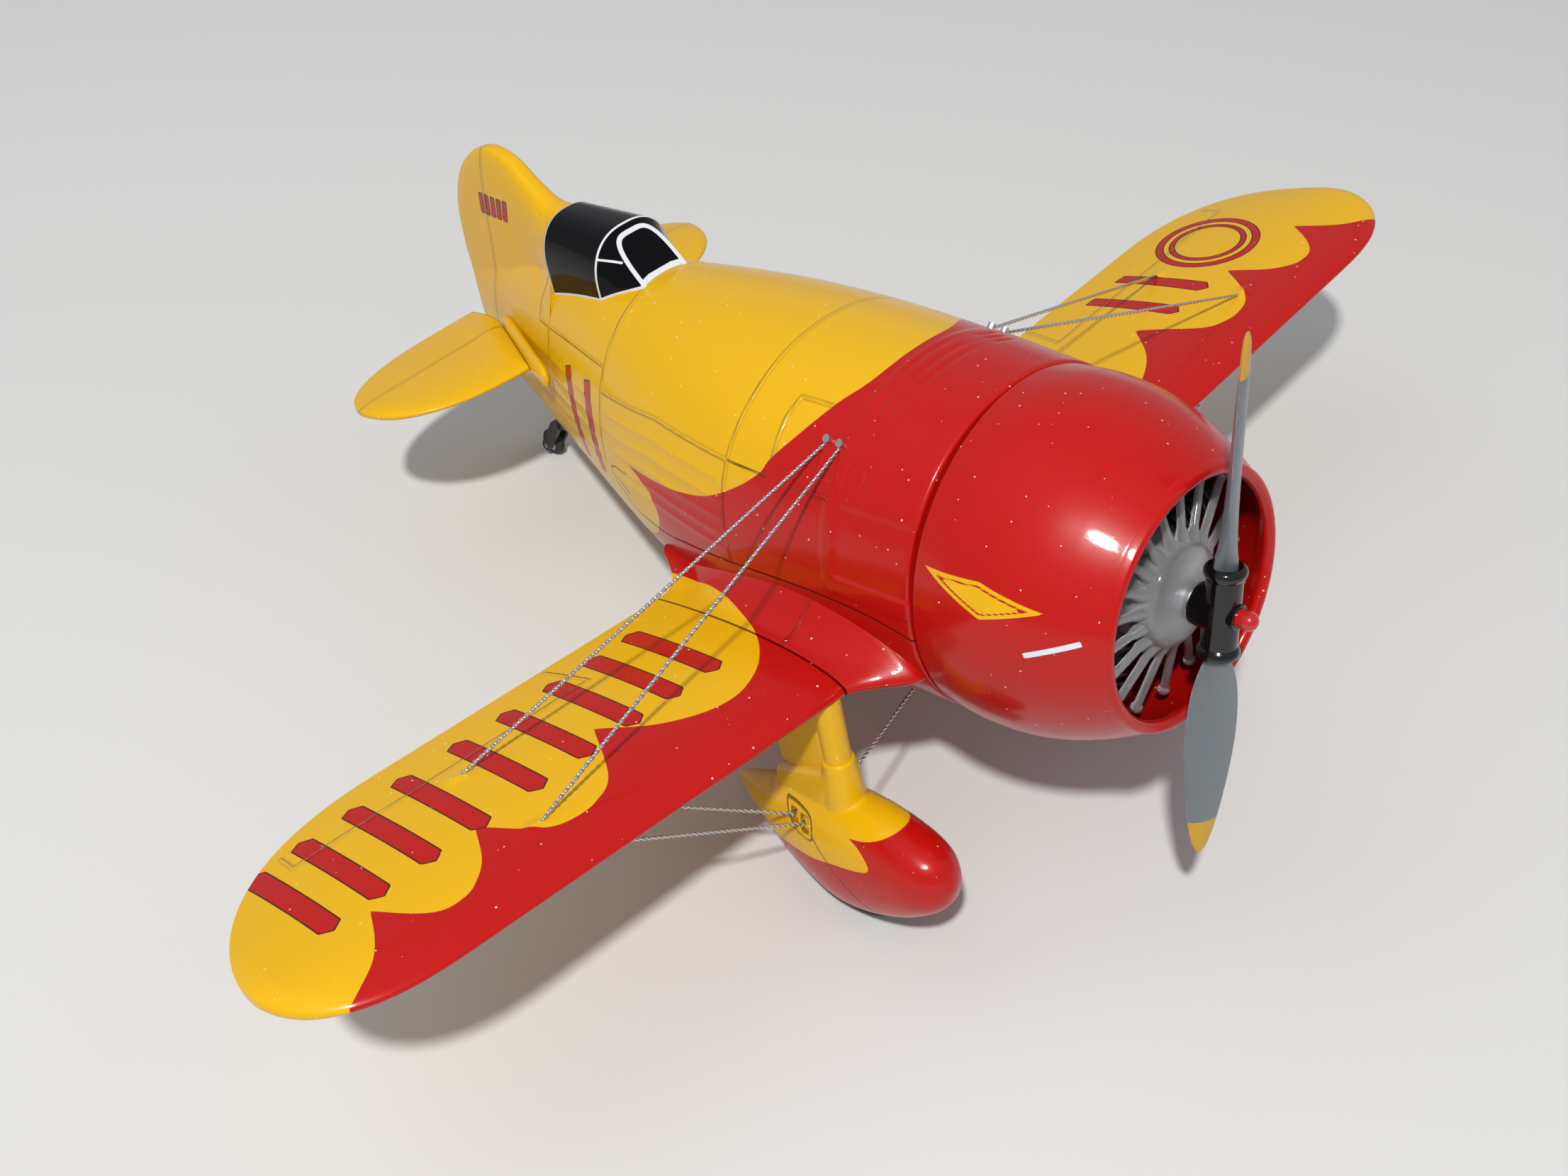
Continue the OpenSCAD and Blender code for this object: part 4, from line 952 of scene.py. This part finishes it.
collar = [(2.75, HUB_HALF - 1.5), (2.9, HUB_HALF - 1.1), (2.95, HUB_HALF - 0.8), (2.85, HUB_HALF - 0.35)]
collar.append((2.6, HUB_HALF - 0.08))
half_barrel = [(0, 0), (BARREL_R, 0), (BARREL_R, HUB_HALF - 1.8), (2.6, HUB_HALF - 1.66)] + collar
half_barrel += [(2.3, HUB_HALF), (1.75, HUB_HALF - 0.1), (1.7, HUB_HALF - 0.8)]
snout = [(3.1, 28.7), (3.1, HUB_X), (1.8, HUB_X), (1.8, HUB_X + 2.7), (1.7, HUB_X + 2.8), (0, HUB_X + 2.8)]
barrel = [lathe(half_barrel, TURNED, 96), lathe(half_barrel, TURNED @ LOWER, 96), lathe(snout, ALONG_X, 64)]
cap_start = HUB_X + BARREL_R + 0.3
cap = [(1.35, cap_start)] + arc((0, cap_start + 1.35), 1.35, 0, 90, 16)

silver_lacquer = blade_lacquer()
piece("propeller-barrel", barrel, black_lacquer, ["prop_hub"], "propeller")
for end, matrix in (("upper", TURNED), ("lower", TURNED @ LOWER)):
    blade = [blade_part(matrix)]
    piece("blade-" + end, blade, silver_lacquer, ["prop_blade_" + end], "propeller", 60)
piece("propeller-cap", [lathe(cap, ALONG_X, 48)], red_cap, ["nose_cap"], "propeller")

# %% [markdown]
# ## Canopy
# The canopy is one solid lump of gloss black plastic with its frame painted on in pale grey: a thin arch
# at the back, another over the pilot, and a thick rounded frame round the flat front pane. The lump is
# lofted from the rear arch to the front pane, and the frame is the distance to the lines along it.

# %% Canopy shape
GLASS_FRONT = 71.6
HOOP = (80, 8.1, 33.2)
REAR_ARCH = (95, 6.9, 33)
ARCH_FOOT = 25.0
LEG_STEPS = 30
ARCH_COLUMNS = 161
PANE_RUN = 7.6
PANE_FOOT = 25.0
PANE_RISE = 7.6
PANE_HALF = 4.7
ARCH_STRIP = 0.14


def arch(s, half, top):
    """One arch of the canopy, from foot to foot."""
    a = np.pi * np.linspace(0, 1, ARCH_COLUMNS)
    y = half * signed_power(np.cos(a), 0.8)
    z = ARCH_FOOT + (top - ARCH_FOOT) * np.sin(a) ** 0.92
    return np.stack([np.full_like(a, -s), y, z], -1)


def front_pane(shrink):
    """The pane's outline on its slope, shrunk towards its middle."""
    a = np.pi * np.linspace(0, 1, ARCH_COLUMNS)
    y = shrink * PANE_HALF * signed_power(np.cos(a), 0.5)
    rise = (0.5 * (1 - shrink) + shrink * np.sin(a) ** 0.62) * 0.95
    return np.stack([-(GLASS_FRONT + PANE_RUN * rise), y, PANE_FOOT + PANE_RISE * rise], -1)


def skin_height(s, y):
    """Height of the body's skin at a station, y out from the middle."""
    low, high = np.full(np.shape(y), 8.0), curve(s, BODY_TOP) + 0 * y
    for _ in range(24):
        middle = (low + high) / 2
        wide = skin(s, middle) > y
        low, high = np.where(wide, middle, low), np.where(wide, high, middle)
    return low


def leg(p):
    """Straight down from an arch's foot to just under the skin."""
    low = float(skin_height(-p[0], np.abs(p[1]))) - 0.6
    return np.stack(np.broadcast_arrays(p[0], p[1], np.linspace(low, p[2], LEG_STEPS, endpoint=False)), -1)


def with_legs(row):
    return np.vstack([leg(row[0]), row, leg(row[-1])[::-1]])


# %% Canopy piece
def canopy_part():
    rear, hoop_arch, pane = arch(*REAR_ARCH), arch(*HOOP), front_pane(1.0)
    rows = [with_legs(rear * (1 - t) + hoop_arch * t) for t in np.linspace(0, 1, 60)]
    rows += [with_legs(hoop_arch * (1 - t) + pane * t) for t in np.linspace(0, 1, 60)[1:]]
    hoop_row, pane_row = 59, 118
    middle = front_pane(0.0)[0]
    rows += [middle + shrink * (rows[pane_row] - middle) for shrink in (0.995, 0.985, *np.linspace(0.96, 0.02, 30))]
    points = np.array(rows)
    x, y, z = -points[..., 0], np.abs(points[..., 1]), points[..., 2]
    row = np.arange(len(rows))[:, None] + 0 * x
    on_pane = row > pane_row
    skin_z = skin_height(x, y)
    back = ARCH_STRIP - np.abs(x - REAR_ARCH[0] + 0.15)
    hoop_line = ARCH_STRIP - np.abs(x - HOOP[0]) * np.where(row > hoop_row, 0.6, 1)
    base = np.where(on_pane, 0.85, 0.38) - (z - skin_z)
    near = np.full(x.shape, FAR)
    edge = points[pane_row][LEG_STEPS:-LEG_STEPS]
    for a, b in zip(edge, edge[1:]):
        d = b - a
        t = unit(((points - a) @ d) / max(d @ d, 1e-9))
        near = np.minimum(near, np.linalg.norm(points - a - t[..., None] * d, axis=-1))
    border = np.where(on_pane, 0.72, 0.16) - near
    brace = 0.17 - line_distance(x, z, [(79.9, 29.7), (76.2, 29.0)])
    brace = np.where(~on_pane & (row > hoop_row), brace, -FAR)
    white = np.maximum.reduce([back, hoop_line, base, border, brace])
    return sheet(points, closed=True, caps=True, white=white)


def canopy_gloss():
    m, tree, shader = principled("canopy gloss", 0.12, coat=0.15, coat_roughness=0.02)
    shader.inputs["Specular IOR Level"].default_value = 0.12
    pattern = placed_group(tree, PATTERN, Front_Colour=(0.001, 0.001, 0.0015, 1))
    tree.links.new(pattern["Colour"], shader.inputs["Base Color"])
    tree.links.new(maths(tree, "MULTIPLY_ADD", pattern["White"], 0.3, 0.12), shader.inputs["Roughness"])
    bump = node(tree, "Bump", [("Height", pattern["Height"]), ("Distance", 0.00012)])
    tree.links.new(bump.outputs["Normal"], shader.inputs["Normal"])
    return m


piece("canopy-lump", [canopy_part()], canopy_gloss(), ["canopy"])

# %% [markdown]
# ## Undercarriage
# Each main wheel hides in a teardrop spat that hangs from the wing by a round leg with a thin fairing
# behind it. The spat, the pylon on it and the boot round the leg flow into each other, as thick paint
# over a casting does. Overlapping simple shapes are joined by a voxel remesh and smoothed, which makes
# those soft inside corners. The wheel well is cut afterwards with a boolean, so its edge stays crisp.

# %% Spat shapes
SPAT_TOP = [(-10.5, -34.8), (-9.4, -32), (-6.7, -30), (-1.7, -28.4), (5.3, -27.5), (13.3, -28.2), (21.3, -30.6),
            (28.3, -33.3), (33.9, -35.4)]
SPAT_BASE = [(-10.5, -36), (-9.4, -39), (-6.7, -41.6), (-1.7, -44.9), (5.3, -47.9), (11.3, -48.6), (17.3, -46.3),
             (23.3, -42.8), (29.3, -39.1), (33.9, -36.9)]
SPAT_HALF = [(-10.5, 0.6), (-9.4, 2.8), (-6.7, 4.7), (-1.7, 5.8), (5.3, 6.3), (12.3, 6.2), (19.3, 5.2), (26.3, 3.5),
             (31.3, 1.8), (33.9, 0.7)]
TRACK = 35.4
LEG_S = 9.4
LEG_R = 2.1
BOOT_TOP = -20.3
WHEEL_SPOT = (9.3, -41.0)
TYRE_R = 9.5
TYRE_W = 5.2


def teardrop():
    s = np.array([-10.5, -10.4, -10.2, -9.8, *np.arange(-9.4, 33.6, 0.5), 33.75, 33.9])[:, None]
    a = turn_angles(96)[None, :]
    top, base, half = curve(s, SPAT_TOP), curve(s, SPAT_BASE), curve(s, SPAT_HALF)
    power = 2 / 2.3
    y = half * signed_power(np.cos(a), power)
    z = (top + base) / 2 + (top - base) / 2 * signed_power(np.sin(a), power)
    return sheet(np.stack(np.broadcast_arrays(-s, TRACK + y, z), -1), closed=True, caps=True)


def disc(s, y, z, r, count=24):
    a = turn_angles(count)
    return np.stack([-s + r * np.cos(a), y + r * np.sin(a), np.full(count, z)], -1)


def hull(*rings):
    """The tight skin over a few rings of points."""
    bm = bmesh.new()
    for p in np.vstack(rings):
        bm.verts.new(p)
    result = bmesh.ops.convex_hull(bm, input=bm.verts)
    loose = [v for v in result["geom_interior"] + result["geom_unused"] if isinstance(v, bmesh.types.BMVert)]
    bmesh.ops.delete(bm, geom=list(set(loose)), context="VERTS")
    bm.verts.index_update()
    points = np.array([v.co[:] for v in bm.verts])
    faces = [[v.index for v in f.verts] for f in bm.faces]
    bm.free()
    return {"points": points, "faces": faces, "fields": {}}


# %% Melting shapes together
def loose_object(parts):
    """Object in airframe millimetres, for modifiers only."""
    points, faces = joined(parts)
    mesh = bpy.data.meshes.new("loose")
    mesh.from_pydata(points.tolist(), [], faces)
    obj = bpy.data.objects.new("loose", mesh)
    bpy.context.scene.collection.objects.link(obj)
    bm = bmesh.new()
    bm.from_mesh(mesh)
    bmesh.ops.recalc_face_normals(bm, faces=bm.faces)
    bm.to_mesh(mesh)
    bm.free()
    return obj


def applied(obj):
    """The mesh with its modifiers, as a part. The object goes."""
    bpy.context.view_layer.update()
    mesh = bpy.data.meshes.new_from_object(obj.evaluated_get(bpy.context.evaluated_depsgraph_get()))
    co = np.empty(len(mesh.vertices) * 3, np.float32)
    mesh.vertices.foreach_get("co", co)
    faces = [list(p.vertices) for p in mesh.polygons]
    bpy.data.objects.remove(obj)
    return {"points": co.reshape(-1, 3).astype(float), "faces": faces, "fields": {}}


def melted(parts, voxel, smooth):
    obj = loose_object(parts)
    remesh = obj.modifiers.new("melt", "REMESH")
    remesh.mode = "VOXEL"
    remesh.voxel_size = voxel
    soft = obj.modifiers.new("soften", "SMOOTH")
    soft.factor, soft.iterations = 0.5, smooth
    return applied(obj)


def carved(part, cutter):
    obj, tool = loose_object([part]), loose_object(cutter)
    cut = obj.modifiers.new("cut", "BOOLEAN")
    cut.operation, cut.solver, cut.object = "DIFFERENCE", "EXACT", tool
    out = applied(obj)
    bpy.data.objects.remove(tool)
    return out


# %% Spat paint and lines
SPAT_RED = (
    [(-20, -20), (-6.2, -26.4)]
    + rounded([(-6.2, -26.4), (-1.75, -28.4), (0.5, -29.35), (2.6, -29.95), (4.9, -30.3)])
    + rounded([(4.9, -30.3), (3, -31), (1.4, -32.2), (0.7, -33.4), (1.6, -34.4), (4.6, -35.3), (8, -36.1), (12, -37.3),
               (17, -38.2), (24, -39.6), (30, -40.8)])
    + [(40, -42), (40, -60), (-20, -60)]
)
SPLIT = [(-5.2, -50.5), (12.3, -33.2)]
WINDOW_RIM = rounded([(19.4, -30.9), (16.2, -30.4), (13.2, -30.7), (12.3, -32.4), (12.4, -34.1), (14.6, -34.3),
                      (16.6, -33.7), (19.4, -30.9)])
WINDOWS = [
    [(17.6, -31.5), (16, -31.3), (15.7, -33), (17, -33.2)],
    [(15.1, -31.3), (13.5, -31.2), (13.1, -33.3), (14.5, -33.6)],
]


def spat_part():
    pylon = hull(disc(LEG_S, TRACK, BOOT_TOP, LEG_R + 0.4), disc(LEG_S, TRACK, BOOT_TOP - 1.6, LEG_R + 0.5),
                 disc(LEG_S, TRACK, -30, LEG_R + 1.3))
    tail = hull(disc(LEG_S, TRACK, -22.8, LEG_R + 0.6), disc(LEG_S, TRACK, -34, LEG_R + 1.3),
                disc(13.5, TRACK, -25.6, 2.5), disc(14, TRACK, -31, 3.1), disc(22.2, TRACK, -28.6, 1.4),
                disc(22.2, TRACK, -32, 1.9))
    body = melted([teardrop(), pylon, tail], 0.24, 14)
    across = Matrix.Translation((-WHEEL_SPOT[0], TRACK, WHEEL_SPOT[1])) @ Matrix.Rotation(math.radians(90), 4, "X")
    wide, deep = TYRE_R + 0.8, TYRE_W / 2 + 0.7
    round_well = lathe([(0, -deep), (wide, -deep), (wide, deep), (0, deep)], across, 96)
    body = carved(body, [round_well])
    p = body["points"]
    s, z, out = -p[:, 0], p[:, 2], p[:, 1] > TRACK
    body["fields"]["paint"] = -inside_by(s, z, SPAT_RED)
    slits = np.minimum.reduce([line_distance(s, z, w + w[:1]) for w in WINDOWS] + [line_distance(s, z, WINDOW_RIM)])
    body["fields"]["groove"] = np.minimum(line_distance(s, z, SPLIT), np.where(out, slits, FAR)) + 0.03
    holes = np.maximum.reduce([inside_by(s, z, w) for w in WINDOWS])
    push = soft_step(holes, 0.12) * out
    p[:, 1] -= 0.7 * push
    return body


# %% Undercarriage pieces
def leg_part():
    top = float(wing_z(TRACK)) - 0.5
    tube = [(0, BOOT_TOP - 0.4), (LEG_R, BOOT_TOP - 0.4), (LEG_R, top), (0, top)]
    tube = lathe(tube, Matrix.Translation((-LEG_S, TRACK, 0)), 64)
    rows = []
    for z in np.linspace(BOOT_TOP - 6.5, top, 30):
        a = turn_angles(48)
        c = np.cos(a)
        s = LEG_S + 1 + 6.2 * (1 - c)
        half = np.interp(s, [LEG_S, LEG_S + 3, 20, 22.6], [1.1, 1.1, 0.7, 0.25])
        rows.append(np.stack([-np.minimum(s, 22.5), TRACK + half * np.sin(a), np.full_like(a, z)], -1))
    return [tube, sheet(np.array(rows)[:, ::-1], closed=True, caps=True)]


starboard_spat = mirrored(spat_part())
port_spat = mirrored(starboard_spat)
for side, shell in (("right", starboard_spat), ("left", port_spat)):
    piece("spat-" + side, [shell], two_colour, [side + "_spat_front", side + "_spat_rear"])
    gear_leg = leg_part() if side == "left" else [mirrored(p) for p in leg_part()]
    for p in gear_leg:
        p["fields"]["paint"] = np.full(len(p["points"]), FAR)
    piece("gear-leg-" + side, gear_leg, two_colour, [side + "_gear_leg"])

# %% [markdown]
# ## Bracing cords
# The flying wires are thin silver cord, two strands laid round each other, pulled tight between the body,
# the wings and the spats. A plain rod would lose the sparkle, so each strand is a tube swept along its own
# helix about the straight line of the cord.

# %% Twisted cord
WIRE_R = 0.3
STRAND_R = 0.15
LAY = 2.1


def cord_part(a, b):
    """Two strands laid round the line from a to b."""
    a, b = np.array(a, float), np.array(b, float)
    length = np.linalg.norm(b - a)
    w = (b - a) / length
    u = np.cross(w, [0, 0, 1.0])
    u /= np.linalg.norm(u)
    v = np.cross(w, u)
    t = np.linspace(0, length, int(length / LAY * 14))
    phase = 2 * np.pi * t / LAY
    strands = []
    for start in (0, np.pi):
        c, d = np.cos(phase + start)[:, None], np.sin(phase + start)[:, None]
        centre = a + t[:, None] * w + (WIRE_R - STRAND_R) * (c * u + d * v)
        radial, side = c * u + d * v, -d * u + c * v
        q = turn_angles(9)[None, :, None]
        points = centre[:, None] + STRAND_R * (np.cos(q) * radial[:, None] + np.sin(q) * side[:, None])
        strands.append(sheet(points[:, ::-1], closed=True, caps=True))
    return strands


def there(w, side):
    return (-w[0], side * w[1], w[2])


# %% Cord pieces
UPPER_ENDS = [((18, 80, -3.9), (16.8, 17.0, 20.5)), ((35.6, 80, -4.2), (19.3, 17.0, 20.5))]
LOWER_ENDS = [((14.5, 40.2, -32.6), (18, 80, -7.3)), ((16.9, 39.9, -32.2), (35.6, 80, -6.7))]
INNER_ENDS = ((7.3, 33.3, -22), (12.9, 14.8, -22.9))

for side, sign in (("right", -1), ("left", 1)):
    for level, ends in (("upper", UPPER_ENDS), ("lower", LOWER_ENDS)):
        strands = [s for a, b in ends for s in cord_part(there(a, sign), there(b, sign))]
        piece(f"{level}-cords-{side}", strands, cord_metal, [f"{side}_{level}_wires"], crease=80)
    inner = cord_part(there(INNER_ENDS[0], sign), there(INNER_ENDS[1], sign))
    piece(f"inner-cord-{side}", inner, cord_metal, [f"{side}_inner_wire"], crease=80)

# %% [markdown]
# ## Pieces kept from the CAD model
# The wheels, axles, screws and small fittings are turned parts that the CAD model already has in full.
# They keep their meshes and only get a finish.

# %% Finishes on kept nodes
KEPT = {
    rubber: ["right_tyre", "left_tyre", "tail_tyre"],
    steel_metal: ["body_screws", "wing_screws", "prop_shaft", "shaft_retainer", "right_axle", "left_axle", "tail_axle",
                  "fuselage_wire_eyes", "right_spat_pins", "left_spat_pins"],
    bright_cast: ["right_wheel_hub", "left_wheel_hub", "tail_wheel_hub"],
    black_metal: ["tail_wheel_fork", "right_wing_lugs", "left_wing_lugs"],
}
for material, names in KEPT.items():
    for name in names:
        mesh = frame["nodes"][name].data
        mesh.materials.clear()
        mesh.materials.append(material)
print("kept nodes:", sum(len(names) for names in KEPT.values()))

# %% [markdown]
# ## Floor, light and camera
# A pale floor that runs far behind the model makes a plain studio. One small lamp high on the starboard
# bow gives the tight highlight on the cowl. Two wide soft ones fill the shadows and are kept out of the
# gloss. The camera stands off the starboard bow, above the wing, with its horizon tilted.

# %% Floor
FLOOR_HALF = 3.0


def floor_material():
    m, tree, shader = principled("pale floor", 0.6, colour=(0.58, 0.58, 0.57, 1))
    tone = node(tree, "TexNoise", [("Scale", 3.0), ("Detail", 2.0)]).outputs["Fac"]
    tree.links.new(blend(tree, tone, (0.56, 0.56, 0.55, 1), (0.6, 0.6, 0.59, 1)), shader.inputs["Base Color"])
    return m


floor_mesh = bpy.data.meshes.new("studio-floor")
corners = [(x * FLOOR_HALF, y * FLOOR_HALF, 0) for x, y in ((-1, -1), (1, -1), (1, 1), (-1, 1))]
floor_mesh.from_pydata(corners, [], [(0, 1, 2, 3)])
floor_mesh.materials.append(floor_material())
floor = bpy.data.objects.new("studio-floor", floor_mesh)
bpy.context.scene.collection.objects.link(floor)

# %% Lights
TARGET = Vector((0, 0, 0.045))


def soft_lamp(name, direction, distance, size, power, warmth=(1, 1, 1), in_gloss=True):
    data = bpy.data.lights.new(name, "AREA")
    data.shape, data.size, data.energy, data.color = "DISK", size, power, warmth
    lamp = bpy.data.objects.new(name, data)
    away = Vector(direction).normalized()
    lamp.location = TARGET + away * distance
    lamp.rotation_euler = away.to_track_quat("Z", "Y").to_euler()
    lamp.visible_glossy = in_gloss
    bpy.context.scene.collection.objects.link(lamp)


soft_lamp("key", (0.30, -0.44, 0.85), 1.1, 0.06, 12, (1, 0.98, 0.95))
soft_lamp("wide fill", (-0.5, -0.3, 1.0), 1.5, 1.3, 3, in_gloss=False)
soft_lamp("far fill", (0.9, 0.7, 0.8), 1.5, 1.2, 2, in_gloss=False)
world = bpy.data.worlds.new("studio")
world.use_nodes = True
world.node_tree.nodes["Background"].inputs["Color"].default_value = (0.9, 0.93, 1, 1)
world.node_tree.nodes["Background"].inputs["Strength"].default_value = 0.4
bpy.context.scene.world = world
bpy.context.scene.view_settings.view_transform = "Standard"

# %% Camera
CAMERA_SPOT = Vector((145.6, -158.7, 151.1))
CAMERA_AIM = Vector((-59.0, 0.0, -32.5))
CAMERA_ROLL = math.radians(-12.17)
CAMERA_LENS = 41.68

camera_data = bpy.data.cameras.new("camera")
camera_data.lens = CAMERA_LENS
camera_data.sensor_width = 36
camera = bpy.data.objects.new("camera", camera_data)
looking = (CAMERA_AIM - CAMERA_SPOT).normalized()
level = looking.cross(Vector((0, 0, 1))).normalized()
above = level.cross(looking)
right = level * math.cos(CAMERA_ROLL) + above * math.sin(CAMERA_ROLL)
up = right.cross(looking)
turn = Matrix((right, up, -looking)).transposed()
tilt = AIRFRAME.to_3x3() @ Matrix.Scale(1 / MM, 3)
camera.matrix_world = Matrix.Translation(AIRFRAME @ CAMERA_SPOT) @ (tilt @ turn).to_4x4()
bpy.context.scene.collection.objects.link(camera)
bpy.context.scene.camera = camera
print("camera at", tuple(round(v, 3) for v in camera.location))
